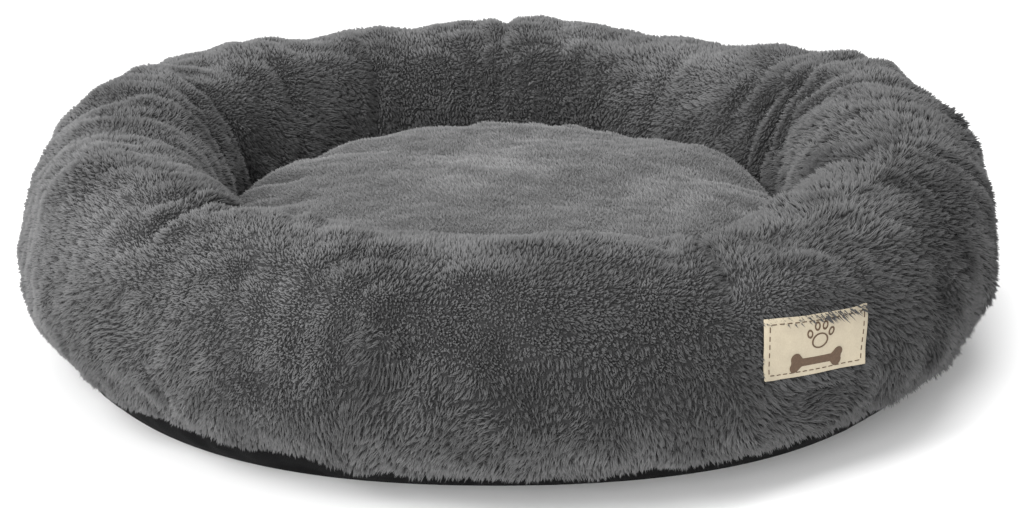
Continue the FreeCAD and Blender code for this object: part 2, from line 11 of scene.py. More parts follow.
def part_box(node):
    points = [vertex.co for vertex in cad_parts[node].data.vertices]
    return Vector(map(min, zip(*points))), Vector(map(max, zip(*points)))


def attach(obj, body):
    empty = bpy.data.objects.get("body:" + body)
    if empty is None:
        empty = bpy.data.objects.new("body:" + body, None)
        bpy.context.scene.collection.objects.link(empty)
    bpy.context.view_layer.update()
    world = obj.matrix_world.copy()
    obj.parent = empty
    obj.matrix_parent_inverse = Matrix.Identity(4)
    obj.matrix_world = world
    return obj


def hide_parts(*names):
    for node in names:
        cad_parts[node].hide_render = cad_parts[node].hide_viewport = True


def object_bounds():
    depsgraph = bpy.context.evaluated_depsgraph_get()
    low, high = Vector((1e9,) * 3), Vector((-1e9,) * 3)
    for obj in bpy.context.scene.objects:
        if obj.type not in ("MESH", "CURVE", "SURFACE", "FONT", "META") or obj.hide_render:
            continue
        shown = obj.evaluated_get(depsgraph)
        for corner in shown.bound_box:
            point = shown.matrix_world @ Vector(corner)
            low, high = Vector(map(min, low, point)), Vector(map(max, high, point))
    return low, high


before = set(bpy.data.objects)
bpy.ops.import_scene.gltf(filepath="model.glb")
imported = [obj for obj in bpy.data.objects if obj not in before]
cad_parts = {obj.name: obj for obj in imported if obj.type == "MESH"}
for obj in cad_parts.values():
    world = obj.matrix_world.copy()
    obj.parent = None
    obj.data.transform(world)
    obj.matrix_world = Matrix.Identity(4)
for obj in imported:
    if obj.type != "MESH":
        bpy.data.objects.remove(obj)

bl_info = {
    "name": "Plush Pet Bed",
    "version": (1, 0, 0),
    "blender": (4, 5, 0),
    "location": "View3D > Sidebar > Pet Bed",
    "description": "Builds a round plush pet bed around its packed frame",
    "category": "Add Mesh",
}

CAD_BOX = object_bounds()
CUSHION_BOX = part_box("cushion_top_cover")
PANEL_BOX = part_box("ring_cover_rear")
FLOOR_CLOTH_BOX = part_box("well_floor_cloth")
LABEL_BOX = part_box("label")
BORDER_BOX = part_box("cushion_border")
BOTTOM_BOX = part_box("cushion_bottom_cover")
TAPE_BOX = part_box("zip_lower_tape")

FULL_TURN = 2.0 * math.pi
OUTER_REACH = CAD_BOX[1][0]
CREST = PANEL_BOX[1][2]
# the cushion's cloth stands proud of its solid, and the ring's leaves it a narrow gap
CUSHION_RADIUS = CUSHION_BOX[1][0] + 0.009
WELL_RADIUS = CUSHION_RADIUS + 0.0015
# the ring's section: its middle line, half widths, widest height, and rise and drop from there
OUTER_HALF = 0.0705
RING_RADIUS = OUTER_REACH - OUTER_HALF
INNER_HALF = RING_RADIUS - WELL_RADIUS
WIDEST_HEIGHT = 0.0614
RISE = CREST - WIDEST_HEIGHT + 0.003
DROP = 0.0595
# radius that turns an angle round the section into a length of cloth
GIRTH = 0.078
BASE_RADIUS = RING_RADIUS + 0.0360
# half the gap between two panels in degrees, and rows of faces up a panel
SEAM_GAP, PANEL_ROWS = 0.06, 66
BACKING_THICKNESS = 0.0018
BAND_THICKNESS = 0.0016
PLAIN_THICKNESS = 0.0012
TUFT_SINK = 0.0012
PUFF_FRAMES = 20
# cover panels: name, azimuth from and to in degrees
PANELS = (
    ("front_right", -66.0, 25.0), ("right", 25.0, 91.0), ("rear", 91.0, 163.0),
    ("left", 163.0, 235.0), ("front_left", 235.0, 294.0),
)
# section angles of the panels' seams with the band, outside and inside
SECTION_START, SECTION_END = math.radians(-41.0), math.radians(238.0)
# section angle of the label's middle in degrees, and radius that the label is bent to
LABEL_TILT = 23.0
LABEL_BEND = 0.090
LABEL_WIDTH, LABEL_HEIGHT, LABEL_THICKNESS = 0.079, 0.040, 0.0012
LABEL_SLANT = math.radians(-4.6)
PRINT_HEIGHT = 0.00025
# how far below the label's upper edge the pile starts
LABEL_TUCK = 0.0008
# fuller and slacker stretches of the ring: azimuth, half width in degrees, outwards and up in mm
SWELLS = (
    (-8.0, 18.0, -8.0, 5.0), (24.0, 16.0, 5.0, 7.0), (54.0, 17.0, 1.0, -8.0),
    (100.0, 20.0, 0.0, -5.0), (154.0, 20.0, 0.0, 8.0), (184.0, 18.0, -8.5, 3.0),
    (212.0, 18.0, 1.0, 5.0), (240.0, 16.0, 2.0, 2.0), (270.0, 20.0, -1.0, 5.0),
    (300.0, 18.0, 2.0, -9.0), (330.0, 16.0, -2.0, -4.0),
)
# creases: azimuth, section angle from and to, depth and width in mm, lean of the crease in degrees
CREASES = (
    (-63.0, 34.0, 155.0, 9.0, 7.0, 9.0),
    (-58.0, 70.0, 130.0, 4.0, 4.0, -9.0),
    (25.0, 20.0, 200.0, 6.0, 7.0, -10.0),
    (35.0, 50.0, 170.0, 2.5, 8.0, 12.0),
    (13.0, 30.0, 150.0, 4.0, 6.0, 8.0),
    (5.0, 15.0, 120.0, 3.5, 5.0, -9.0),
    (-4.0, 25.0, 170.0, 5.0, 6.0, 7.0),
    (-14.0, 10.0, 110.0, 3.5, 5.0, -12.0),
    (-24.0, 40.0, 140.0, 3.0, 6.0, 10.0),
    (91.0, 30.0, 210.0, 2.8, 5.0, 5.0),
    (99.0, 100.0, 210.0, 3.5, 6.0, -8.0),
    (118.0, 70.0, 190.0, 3.5, 7.0, 10.0),
    (140.0, 60.0, 200.0, 4.0, 9.0, 12.0),
    (56.0, 80.0, 200.0, 2.0, 8.0, 6.0),
    (74.0, 110.0, 200.0, 1.8, 7.0, -6.0),
    (163.0, 30.0, 150.0, 3.0, 6.0, 9.0),
    (173.0, 20.0, 175.0, 2.8, 9.0, -9.0),
    (181.0, 50.0, 110.0, 1.6, 6.0, 14.0),
    (189.0, 30.0, 165.0, 2.8, 10.0, 16.0),
    (199.0, 10.0, 90.0, 1.6, 7.0, -12.0),
    (210.0, 40.0, 130.0, 1.8, 9.0, 12.0),
    (228.0, 45.0, 190.0, 5.5, 6.0, 10.0),
    (238.0, 80.0, 160.0, 3.0, 6.0, -14.0),
)
# a whorl in the pile of the front: azimuth and section angle in radians, reach in metres
WHORL = (math.radians(258.0), math.radians(22.0), 0.016)


# ------------------------------------------------------------------ settings
def length_setting(name, about, value):
    """Setting in metres."""
    return bpy.props.FloatProperty(name=name, description=about, default=value, unit="LENGTH")


def colour_setting(name, about, value):
    """Colour setting, as linear red, green and blue."""
    return bpy.props.FloatVectorProperty(name=name, description=about, default=value,
                                         subtype="COLOR")


class BedPlush(bpy.types.PropertyGroup):
    """Pile of the ring and of the cushion."""

    pile: length_setting("Ring pile", "Length of the ring's short pile", 0.0032)
    shag: length_setting(
        "Ring shag", "How much longer the ring's pile is where it is shaggy", 0.0034)
    pile_depth: length_setting("Pile depth", "Backing cloth to the middle of the tips", 0.0030)
    pitch: length_setting("Pile pitch", "Tuft to tuft on the ring", 0.00140)
    clump: length_setting("Clump", "Width of the clumps that tufts gather in", 0.0029)
    cushion_pile: length_setting("Cushion pile", "Length of the cushion's tufts", 0.0032)
    cushion_pitch: length_setting("Cushion pitch", "Tuft to tuft on the cushion", 0.00150)
    # the root colours below are painted shade deep in the pile
    ring_root_painted_shade: colour_setting(
        "Ring root", "Colour deep in the ring's pile", (0.008, 0.008, 0.0083))
    ring_tip: colour_setting(
        "Ring tip", "Colour at the tips of the ring's pile", (0.118, 0.118, 0.1195))
    cushion_root_painted_shade: colour_setting(
        "Cushion root", "Colour deep in the cushion's pile", (0.035, 0.035, 0.0355))
    cushion_tip: colour_setting(
        "Cushion tip", "Colour at the tips of the cushion's pile", (0.138, 0.138, 0.1393))


class BedTrim(bpy.types.PropertyGroup):
    """Base, label and zip."""

    base_black: colour_setting("Base", "Coated cloth of the base", (0.0025, 0.0025, 0.0028))
    lining_grey: colour_setting("Lining", "Plain cloth under the cushion", (0.075, 0.076, 0.08))
    label_cream: colour_setting("Label", "Leatherette of the label", (0.385, 0.335, 0.248))
    label_brown: colour_setting("Print", "Print and thread on the label", (0.062, 0.031, 0.0115))
    stitch: length_setting("Stitch", "Length of one stitch", 0.0032)


class BedStage(bpy.types.PropertyGroup):
    """Camera, lights and floor."""

    elevation: bpy.props.FloatProperty(
        name="Elevation", description="Camera above the level", default=math.radians(19.87),
        subtype="ANGLE")
    distance: length_setting("Distance", "Camera to the point it looks at", 1.6355)
    lens: bpy.props.FloatProperty(
        name="Lens", description="Focal length in millimetres", default=79.15)
    aim_height: length_setting("Aim height", "Height of the point looked at", 0.0453)
    floor_tone: bpy.props.FloatProperty(
        name="Floor", description="How pale the floor is", default=0.86, min=0.0, max=1.0)


# ------------------------------------------------------------------ small helpers
def smooth_step(low, high, value):
    """0 below low, 1 above high, and a soft ramp between them."""
    share = np.clip((value - low) / (high - low), 0.0, 1.0)
    return share * share * (3.0 - 2.0 * share)


def bell(away, width):
    """1 in the middle, falling softly to almost 0 at twice the width."""
    return np.exp(-(away / width) ** 2)


def angle_between(first, second):
    """Signed difference of two azimuths in radians, within half a turn."""
    return (first - second + math.pi) % FULL_TURN - math.pi


def angles_round(columns, rows):
    """Azimuths as a column and section angles as a row, both all the way round."""
    return (np.linspace(0.0, FULL_TURN, columns, endpoint=False)[:, None],
            np.linspace(0.0, FULL_TURN, rows, endpoint=False)[None, :])


def waves(points, wavelength, seed, count=10):
    """Smooth noise of about unit size: a sum of plane waves in fixed random directions."""
    draw = np.random.default_rng(seed)
    ways = draw.normal(size=(count, 3))
    ways /= np.linalg.norm(ways, axis=1)[:, None]
    ways *= (FULL_TURN / wavelength) * draw.uniform(0.7, 1.4, (count, 1))
    phases = draw.uniform(0.0, FULL_TURN, count)
    return np.cos(points @ ways.T + phases).sum(axis=-1) * math.sqrt(2.0 / count)


def unit(vectors):
    """Vectors scaled to length 1."""
    return vectors / np.maximum(np.linalg.norm(vectors, axis=-1, keepdims=True), 1e-12)


def deselect():
    """Leave nothing selected, because an operator acts on all that is."""
    for item in bpy.context.selected_objects:
        item.select_set(False)


def only(piece):
    """Select one object and make it the active one."""
    deselect()
    piece.select_set(True)
    bpy.context.view_layer.objects.active = piece
    return piece


def mesh_object(name, points, faces, uvs=None, smooth=True):
    """Object from points and a list of face arrays, each of one corner count."""
    mesh = bpy.data.meshes.new(name)
    mesh.vertices.add(len(points))
    mesh.vertices.foreach_set("co", np.ascontiguousarray(points, np.float32).ravel())
    corners = np.concatenate([group.ravel() for group in faces]).astype(np.int32)
    sizes = np.concatenate([np.full(len(group), group.shape[1], np.int32) for group in faces])
    mesh.loops.add(len(corners))
    mesh.loops.foreach_set("vertex_index", corners)
    mesh.polygons.add(len(sizes))
    mesh.polygons.foreach_set("loop_start", np.concatenate([[0], np.cumsum(sizes)[:-1]])
                              .astype(np.int32))
    mesh.polygons.foreach_set("use_smooth", np.full(len(sizes), smooth))
    mesh.update(calc_edges=True)
    if uvs is not None:
        layer = mesh.uv_layers.new(name="OFBake")
        layer.data.foreach_set("uv", np.ascontiguousarray(uvs[corners], np.float32).ravel())
    if mesh.validate():
        raise RuntimeError(f"{name} was not a sound mesh")
    piece = bpy.data.objects.new(name, mesh)
    bpy.context.scene.collection.objects.link(piece)
    return piece


def dress(piece, material, body):
    """Give a piece its material and its body."""
    piece.data.materials.clear()
    piece.data.materials.append(material)
    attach(piece, body)
    return piece


def apply_place(piece):
    """Move a piece's place, turn and scale into its mesh."""
    only(piece)
    bpy.ops.object.transform_apply(location=True, rotation=True, scale=True)
    return piece


def edit_all(piece, *steps):
    """Run each step in edit mode with the whole of a piece selected."""
    only(piece)
    bpy.ops.object.mode_set(mode="EDIT")
    for step in steps:
        bpy.ops.mesh.select_all(action="SELECT")
        step()
    bpy.ops.object.mode_set(mode="OBJECT")
    return piece


def thicken(height):
    """Edit step: raise what is selected by this height, as a closed plate."""
    return lambda: bpy.ops.mesh.extrude_region_move(
        TRANSFORM_OT_translate={"value": (0, 0, height)})


def face_outwards():
    """Edit step: turn every face outwards."""
    bpy.ops.mesh.normals_make_consistent(inside=False)


def finish_with(piece, kind, **settings):
    """Add a modifier with these settings and apply it."""
    only(piece)
    modifier = piece.modifiers.new(kind.lower(), kind)
    for key, value in settings.items():
        setattr(modifier, key, value)
    bpy.ops.object.modifier_apply(modifier=modifier.name)
    return piece


def copied(piece, name):
    """Copy of an object with a mesh of its own."""
    twin = bpy.data.objects.new(name, piece.data.copy())
    twin.data.name = name
    bpy.context.scene.collection.objects.link(twin)
    return twin


def linked(name, points, edges, faces):
    """Object from plain lists of points, edges and faces."""
    mesh = bpy.data.meshes.new(name)
    mesh.from_pydata(points, edges, faces)
    piece = bpy.data.objects.new(name, mesh)
    bpy.context.scene.collection.objects.link(piece)
    return piece


def points_of(piece):
    """Points of a piece's mesh as an array."""
    return np.array([vertex.co[:] for vertex in piece.data.vertices])


def smooth_all(piece):
    """Shade every face smooth."""
    piece.data.polygons.foreach_set("use_smooth", np.full(len(piece.data.polygons), True))


def moved_points(piece, change):
    """Replace a mesh's points by change(points)."""
    mesh = piece.data
    points = np.empty(len(mesh.vertices) * 3, np.float32)
    mesh.vertices.foreach_get("co", points)
    mesh.vertices.foreach_set("co", change(points.reshape(-1, 3)).astype(np.float32).ravel())
    mesh.update()


def closed_grid(name, points):
    """Object from a grid of points that meets itself both ways."""
    columns, rows = points.shape[:2]
    index = np.arange(columns * rows).reshape(columns, rows)
    right = np.roll(index, -1, 0)
    quads = np.stack([index, right, np.roll(right, -1, 1), np.roll(index, -1, 1)], -1)
    return mesh_object(name, points.reshape(-1, 3), [quads.reshape(-1, 4)])


def join(pieces, name):
    """Join several objects into one."""
    deselect()
    for piece in pieces:
        piece.select_set(True)
    bpy.context.view_layer.objects.active = pieces[0]
    if len(pieces) > 1:
        bpy.ops.object.join()
    piece = bpy.context.view_layer.objects.active
    piece.name = piece.data.name = name
    return piece


# ------------------------------------------------------------------ materials
class Nodes:
    """A material's node tree with a Principled shader, built a node at a time."""

    def __init__(self, name):
        self.material = bpy.data.materials.new(name)
        self.material.use_nodes = True
        self.tree = self.material.node_tree
        self.shader = self.tree.nodes["Principled BSDF"]
        self.where = None

    def add(self, kind, **settings):
        """New node; a setting is a property, or an input when its name ends in an underscore."""
        node = self.tree.nodes.new("ShaderNode" + kind)
        for key, value in settings.items():
            if key.endswith("_"):
                node.inputs[key[:-1].replace("_", " ")].default_value = value
            else:
                setattr(node, key, value)
        return node

    def link(self, source, target):
        self.tree.links.new(source, target)

    def set(self, **values):
        """Constants on the shader."""
        for key, value in values.items():
            self.shader.inputs[key.replace("_", " ")].default_value = value

    def feed(self, **sources):
        """Outputs of other nodes into the shader."""
        for key, source in sources.items():
            self.link(source, self.shader.inputs[key.replace("_", " ")])

    def texture(self, kind, output="Fac", **settings):
        """Output of a texture that is laid on Object coordinates."""
        if self.where is None:
            self.where = self.add("TexCoord").outputs["Object"]
        node = self.add("Tex" + kind, **settings)
        self.link(self.where, node.inputs["Vector"])
        return node.outputs[output]

    def ramp(self, source, *stops):
        """Colour ramp from (position, colour) pairs."""
        node = self.add("ValToRGB")
        elements = node.color_ramp.elements
        while len(elements) < len(stops):
            elements.new(0.5)
        for element, (position, colour) in zip(elements, stops):
            element.position = position
            element.color = (*colour, 1.0)
        self.link(source, node.inputs["Fac"])
        return node.outputs["Color"]

    def scaled_by(self, colour, factor):
        node = self.add("VectorMath", operation="SCALE")
        self.link(colour, node.inputs[0])
        self.link(factor, node.inputs["Scale"])
        return node.outputs["Vector"]

    def math(self, operation, first, second):
        node = self.add("Math", operation=operation)
        self.link(first, node.inputs[0])
        self.link(second, node.inputs[1])
        return node.outputs[0]

    def spread(self, source, low, high, start=0.0, end=1.0):
        """Map a value from start..end to low..high."""
        node = self.add("MapRange", From_Min_=start, From_Max_=end, To_Min_=low, To_Max_=high)
        self.link(source, node.inputs["Value"])
        return node.outputs["Result"]

    def bump(self, height, strength, distance):
        node = self.add("Bump", Strength_=strength, Distance_=distance)
        self.link(height, node.inputs["Height"])
        self.feed(Normal=node.outputs["Normal"])


def scaled(colour, factor):
    """Lighter or darker colour."""
    return tuple(channel * factor for channel in colour)


def plush_material(name, root, tip, sheen):
    """Pile: the UV map's V runs from root to tip, and its U is each tuft's tone, with painted light
    and painted shade in it.
    """
    made = Nodes(name)
    parts = made.add("SeparateXYZ")
    made.link(made.add("UVMap", uv_map="OFBake").outputs["UV"], parts.inputs["Vector"])
    shade, rise = parts.outputs["X"], parts.outputs["Y"]
    # the ramp darkens from the tip towards the root: painted shade deep in the pile
    middle = tuple(a * 0.45 + b * 0.55 for a, b in zip(root, tip))
    along = made.ramp(rise, (0.0, root), (0.35, scaled(middle, 0.62)), (0.72, middle), (1.0, tip))
    made.feed(Base_Color=made.scaled_by(along, made.spread(shade, 0.55, 1.45)),
              Roughness=made.spread(rise, 0.95, 0.78))
    made.set(Sheen_Weight=sheen, Sheen_Roughness=0.55, Specular_IOR_Level=0.25)
    return made.material


def weave_material(name, colour, pitch, roughness, depth, contrast=0.35, gloss=0.3):
    """Plain weave: crossed sets of threads over a slow change of tone."""
    made = Nodes(name)
    across, along, upright = (
        made.texture("Wave", wave_type="BANDS", bands_direction=way, Scale_=0.314 / pitch,
                     Distortion_=0.35, Detail_=1.0, Detail_Scale_=2.0) for way in "XYZ")
    cloth = made.math("MULTIPLY", made.math("MAXIMUM", across, along),
                      made.spread(upright, 0.7, 1.0))
    tone = made.texture("Noise", Scale_=28.0, Detail_=4.0, Roughness_=0.6)
    base = made.ramp(tone, (0.3, scaled(colour, 1.0 - contrast)),
                     (0.7, scaled(colour, 1.0 + contrast)))
    made.feed(Base_Color=made.scaled_by(base, made.spread(cloth, 0.55, 1.25)),
              Roughness=made.spread(tone, roughness - 0.08, roughness + 0.1))
    made.set(Specular_IOR_Level=gloss)
    made.bump(cloth, 0.7, depth)
    return made.material


def felt_material(name, colour):
    """Non-woven casing or loose filling: matted white fibres."""
    made = Nodes(name)
    fibres = made.texture("Noise", Scale_=420.0, Detail_=6.0, Distortion_=1.8)
    dabs = made.texture("Voronoi", "Distance", Scale_=260.0)
    both = made.math("MULTIPLY", fibres, made.spread(dabs, 0.5, 1.0, 0.0, 0.5))
    made.feed(Base_Color=made.ramp(both, (0.15, scaled(colour, 0.75)), (0.6, colour)),
              Roughness=made.spread(fibres, 0.85, 1.0))
    made.set(Sheen_Weight=0.2, Specular_IOR_Level=0.2)
    made.bump(both, 0.6, 0.0006)
    return made.material


def leatherette_material(name, colour):
    """Cream leatherette: fine pebbled grain, slow mottling and slightly duller hollows."""
    made = Nodes(name)
    grain = made.texture("Voronoi", "Distance", Scale_=950.0, feature="SMOOTH_F1")
    mottle = made.texture("Noise", Scale_=60.0, Detail_=5.0, Roughness_=0.65)
    base = made.ramp(mottle, (0.3, scaled(colour, 0.88)), (0.7, scaled(colour, 1.06)))
    made.feed(Base_Color=made.scaled_by(base, made.spread(grain, 0.95, 1.03, 0.0, 0.6)),
              Roughness=made.spread(mottle, 0.5, 0.64))
    made.set(Specular_IOR_Level=0.35)
    made.bump(grain, 0.35, 0.0002)
    return made.material


def thread_material(name, colour):
    """Twisted thread."""
    made = Nodes(name)
    ply = made.texture("Wave", wave_type="BANDS", bands_direction="DIAGONAL", Scale_=900.0,
                       Distortion_=1.0)
    made.feed(Base_Color=made.ramp(ply, (0.2, scaled(colour, 0.7)), (0.8, scaled(colour, 1.25))),
              Roughness=made.spread(ply, 0.6, 0.8))
    made.bump(ply, 0.5, 0.0002)
    return made.material


def print_material(name, colour):
    """Screen print with a little of the ground showing through."""
    made = Nodes(name)
    wear = made.texture("Noise", Scale_=700.0, Detail_=3.0)
    made.feed(Base_Color=made.ramp(wear, (0.35, scaled(colour, 1.3)), (0.55, colour)),
              Roughness=made.spread(wear, 0.5, 0.7))
    made.bump(wear, 0.2, 0.0001)
    return made.material


def painted_metal_material(name, colour):
    """Black paint on zinc, rubbed pale where it is handled."""
    made = Nodes(name)
    wear = made.texture("Noise", Scale_=520.0, Detail_=6.0, Roughness_=0.7)
    made.feed(Base_Color=made.ramp(wear, (0.55, colour), (0.72, (0.09, 0.09, 0.092))),
              Roughness=made.spread(wear, 0.28, 0.5))
    made.set(Metallic=0.35)
    made.bump(wear, 0.15, 0.0001)
    return made.material


def nylon_material(name):
    """Glossy black nylon of the zip's coil."""
    made = Nodes(name)
    grain = made.texture("Noise", Scale_=900.0)
    made.feed(Base_Color=made.ramp(grain, (0.3, (0.012, 0.012, 0.013)),
                                   (0.7, (0.03, 0.03, 0.032))))
    made.set(Roughness=0.35)
    return made.material


def floor_material(tone):
    """Matt pale floor with hardly any mottling."""
    made = Nodes("studio_floor")
    dust = made.texture("Noise", Scale_=3.0, Detail_=3.0)
    made.feed(Base_Color=made.ramp(dust, (0.3, (tone, tone, tone)),
                                   (0.7, scaled((tone, tone, tone), 1.01))))
    made.set(Roughness=0.9, Specular_IOR_Level=0.1, Emission_Color=(1.0, 1.0, 1.0, 1.0),
             Emission_Strength=0.08)
    return made.material


# ------------------------------------------------------------------ the ring's shape
class Surface:
    """Closed grid round the ring: first index is the azimuth, second is the section angle."""

    def __init__(self, points):
        self.points = points
        along = np.roll(points, -1, 0) - np.roll(points, 1, 0)
        around = np.roll(points, -1, 1) - np.roll(points, 1, 1)
        self.normals = unit(np.cross(along, around))
        self.along = unit(along)
        self.around = unit(around)

    def sample(self, azimuth, section):
        """Points, normals and both tangents at these angles, in radians."""
        wide, high = self.points.shape[:2]
        column = np.mod(azimuth / FULL_TURN, 1.0) * wide
        row = np.mod(section / FULL_TURN, 1.0) * high
        left, low = np.floor(column).astype(int), np.floor(row).astype(int)
        across, up = (column - left)[..., None], (row - low)[..., None]
        left, low = left % wide, low % high
        right, above = (left + 1) % wide, (low + 1) % high
        found = []
        for values in (self.points, self.normals, self.along, self.around):
            found.append((values[left, low] * (1 - across) + values[right, low] * across)
                         * (1 - up) + (values[left, above] * (1 - across)
                                       + values[right, above] * across) * up)
        return found[0], unit(found[1]), unit(found[2]), unit(found[3])

    def finer(self):
        """The same surface with twice as many rows and columns."""
        points = self.points
        for axis in (0, 1):
            before, after = np.roll(points, 1, axis), np.roll(points, -1, axis)
            beyond = np.roll(points, -2, axis)
            between = (9.0 * (points + after) - before - beyond) / 16.0
            shape = list(points.shape)
            shape[axis] *= 2
            points = np.stack([points, between], axis + 1).reshape(shape)
        return Surface(points)


def ring_grid(columns, rows, depth):
    """Rest shape of the ring's backing cloth: fat at the sides, flattened under its weight."""
    azimuth, section = np.broadcast_arrays(*angles_round(columns, rows))
    outward, upward = np.cos(section), np.sin(section)
    swell, lift = np.zeros_like(azimuth), np.zeros_like(azimuth)
    for turn, width, out, up in SWELLS:
        near = bell(angle_between(azimuth, math.radians(turn)), math.radians(width))
        swell += near * out / 1000.0
        lift += near * up / 1000.0
    half = np.where(outward > 0.0, OUTER_HALF + swell, INNER_HALF) - depth
    shoulder = 1.0 - 0.3 * bell(angle_between(azimuth, math.radians(8.0)), 0.5)
    full = np.where(upward < 0.0, np.abs(outward) ** 1.3, np.abs(outward) ** shoulder)
    tucked = np.where(outward > 0.0, full, outward)
    reach = RING_RADIUS + half * tucked
    raised = (0.012 * bell(angle_between(azimuth, math.radians(10.0)), 0.5)
              + 0.006 * bell(angle_between(azimuth, math.pi), 0.5))
    height = WIDEST_HEIGHT + raised + upward * np.where(
        upward > 0.0, RISE + lift - raised - depth, DROP + raised - depth)
    return np.stack([reach * np.cos(azimuth), reach * np.sin(azimuth), height], -1)


def puffed(piece, pinned, cap, pressure, growth, stiffness):
    """Inflate a mesh as cloth for some frames and return its points, moved no more than cap."""
    mesh = piece.data
    start = np.empty(len(mesh.vertices) * 3, np.float32)
    mesh.vertices.foreach_get("co", start)
    start = start.reshape(-1, 3)
    group = piece.vertex_groups.new(name="held")
    for weight in np.unique(pinned[pinned > 0.0]):
        group.add([int(index) for index in np.nonzero(pinned == weight)[0]], float(weight), "ADD")
    cloth = piece.modifiers.new("puff", "CLOTH")
    settings = cloth.settings
    settings.quality = 6
    settings.mass = 0.3
    settings.tension_stiffness = settings.compression_stiffness = stiffness
    settings.shear_stiffness = stiffness / 3.0
    settings.bending_stiffness = 0.3
    settings.use_pressure = True
    settings.uniform_pressure_force = pressure
    settings.vertex_group_mass = "held"
    settings.shrink_min = -growth
    settings.effector_weights.gravity = 0.0
    cloth.collision_settings.use_self_collision = False
    cloth.point_cache.frame_start, cloth.point_cache.frame_end = 1, PUFF_FRAMES
    for number in range(1, PUFF_FRAMES + 1):
        bpy.context.scene.frame_set(number)
    shaped = piece.evaluated_get(bpy.context.evaluated_depsgraph_get()).to_mesh()
    moved = np.empty(len(shaped.vertices) * 3, np.float32)
    shaped.vertices.foreach_get("co", moved)
    piece.modifiers.remove(cloth)
    piece.vertex_groups.remove(group)
    bpy.context.scene.frame_set(1)
    step = moved.reshape(-1, 3) - start
    length = np.linalg.norm(step, axis=1, keepdims=True)
    return start + step * (cap * np.tanh(length / cap) / np.maximum(length, 1e-9))


def beside_label(azimuth, section):
    """1 under the label, where the ring lies calm, and 0 a hand's width from it."""
    middle, tilt = label_place()
    away = np.hypot(angle_between(azimuth, middle) * OUTER_REACH, (section - tilt) * GIRTH)
    return np.exp(-(away / 0.05) ** 4)


def with_creases(surface):
    """Press the creases of the ring into its surface, with a soft ridge beside each."""
    azimuth, section = angles_round(*surface.points.shape[:2])
    section = np.where(section > math.radians(290.0), section - FULL_TURN, section)
    push = np.zeros(surface.points.shape[:2])
    for turn, first, last, depth, width, lean in CREASES:
        first, last = math.radians(first), math.radians(last)
        centre = math.radians(turn) + math.radians(lean) * (
            (section - first) / (last - first) - 0.5) * 0.7
        across = np.abs(angle_between(azimuth, centre)) * RING_RADIUS * 1000.0
        reach = (smooth_step(first, first + 0.5, section)
                 * (1.0 - smooth_step(last - 0.5, last, section)))
        valley = -bell(across, width)
        ridge = 0.35 * bell(across - 2.1 * width, 0.9 * width)
        push += reach * depth * (valley + ridge) / 1000.0
    calm = beside_label(azimuth, section)
    push = push * (1.0 - calm) + 0.40 * calm * (section - math.radians(LABEL_TILT)) * GIRTH
    points = surface.points + surface.normals * push[..., None]
    ceiling = CREST + 0.0060
    points[..., 2] -= 0.75 * np.maximum(points[..., 2] - ceiling, 0.0)
    return Surface(points)


def lumpy(surface):
    """Soft dents and bulges of loose filling under the cloth."""
    points = surface.points
    push = (0.0018 * waves(points, 0.12, 11) + 0.0011 * waves(points, 0.05, 12)
            + 0.0006 * waves(points, 0.024, 13))
    held = smooth_step(0.004, 0.03, points[..., 2])
    held = held * (1.0 - beside_label(*angles_round(*points.shape[:2])))
    return Surface(points + surface.normals * (push * held)[..., None])


def ring_surface(depth):
    """Backing cloth of the ring after it has been stuffed."""
    columns, rows = 360, 92
    points = ring_grid(columns, rows, depth)
    bag = closed_grid("ring_bag", points)
    azimuth, section = angles_round(columns, rows)
    held = np.zeros((columns, rows))
    for _, seam, _ in PANELS:
        held = np.maximum(held, 0.9 * (np.abs(angle_between(azimuth, math.radians(seam)))
                                       < math.radians(0.6)))
    held = np.maximum(held, (section > math.radians(236.0)) & (section < math.radians(312.0)))
    shaped = puffed(bag, held.ravel(), 0.005, 3.0, 0.008, 25.0).reshape(columns, rows, 3)
    calm = beside_label(azimuth, section)[..., None]
    shaped = shaped * (1.0 - calm) + points * calm
    bpy.data.objects.remove(bag)
    RING["bag"] = shaped
    return with_creases(lumpy(Surface(shaped).finer()))


# ------------------------------------------------------------------ pile
def spike_mesh(roots, normals, combs, length, width, shade, lean, gather, root, end):
    """Straight closed tufts: three corners at the root and one at the tip."""
    sides = unit(np.cross(normals, combs))
    tip = roots + gather + (normals * np.cos(lean)[:, None]
                            + combs * np.sin(lean)[:, None]) * length[:, None]
    points = np.empty((len(roots), 4, 3))
    for corner in range(3):
        turn = math.radians(90.0 + 120.0 * corner)
        ring = sides * math.cos(turn) + combs * math.sin(turn)
        points[:, corner] = roots - normals * TUFT_SINK + ring * width[:, None]
    points[:, 3] = tip
    faces = np.array([[0, 1, 3], [1, 2, 3], [2, 0, 3], [0, 2, 1]])
    return stacked(points, faces, shade, np.stack([root, root, root, end], -1))


def stacked(points, faces, shade, rise):
    """Many copies of one small shape as points, faces and UVs (shade, root to tip)."""
    count, corners = points.shape[:2]
    offsets = (np.arange(count) * corners)[:, None, None]
    uvs = np.empty((count, corners, 2))
    uvs[..., 0] = np.clip(shade, 0.01, 0.99)[:, None] + np.array((-0.006, 0.006, 0.0, 0.0))
    uvs[..., 1] = rise
    return points.reshape(-1, 3), (faces[None] + offsets).reshape(-1, 3), uvs.reshape(-1, 2)


def merged(name, parts):
    """One object from several (points, faces, uvs)."""
    start, points, triangles, quads, uvs = 0, [], [], [], []
    for these_points, these_faces, these_uvs in parts:
        target = quads if these_faces.shape[1] == 4 else triangles
        target.append(these_faces + start)
        points.append(these_points)
        uvs.append(these_uvs)
        start += len(these_points)
    faces = [np.concatenate(group) for group in (quads, triangles) if group]
    return mesh_object(name, np.concatenate(points), faces, np.clip(np.concatenate(uvs), 0, 1))


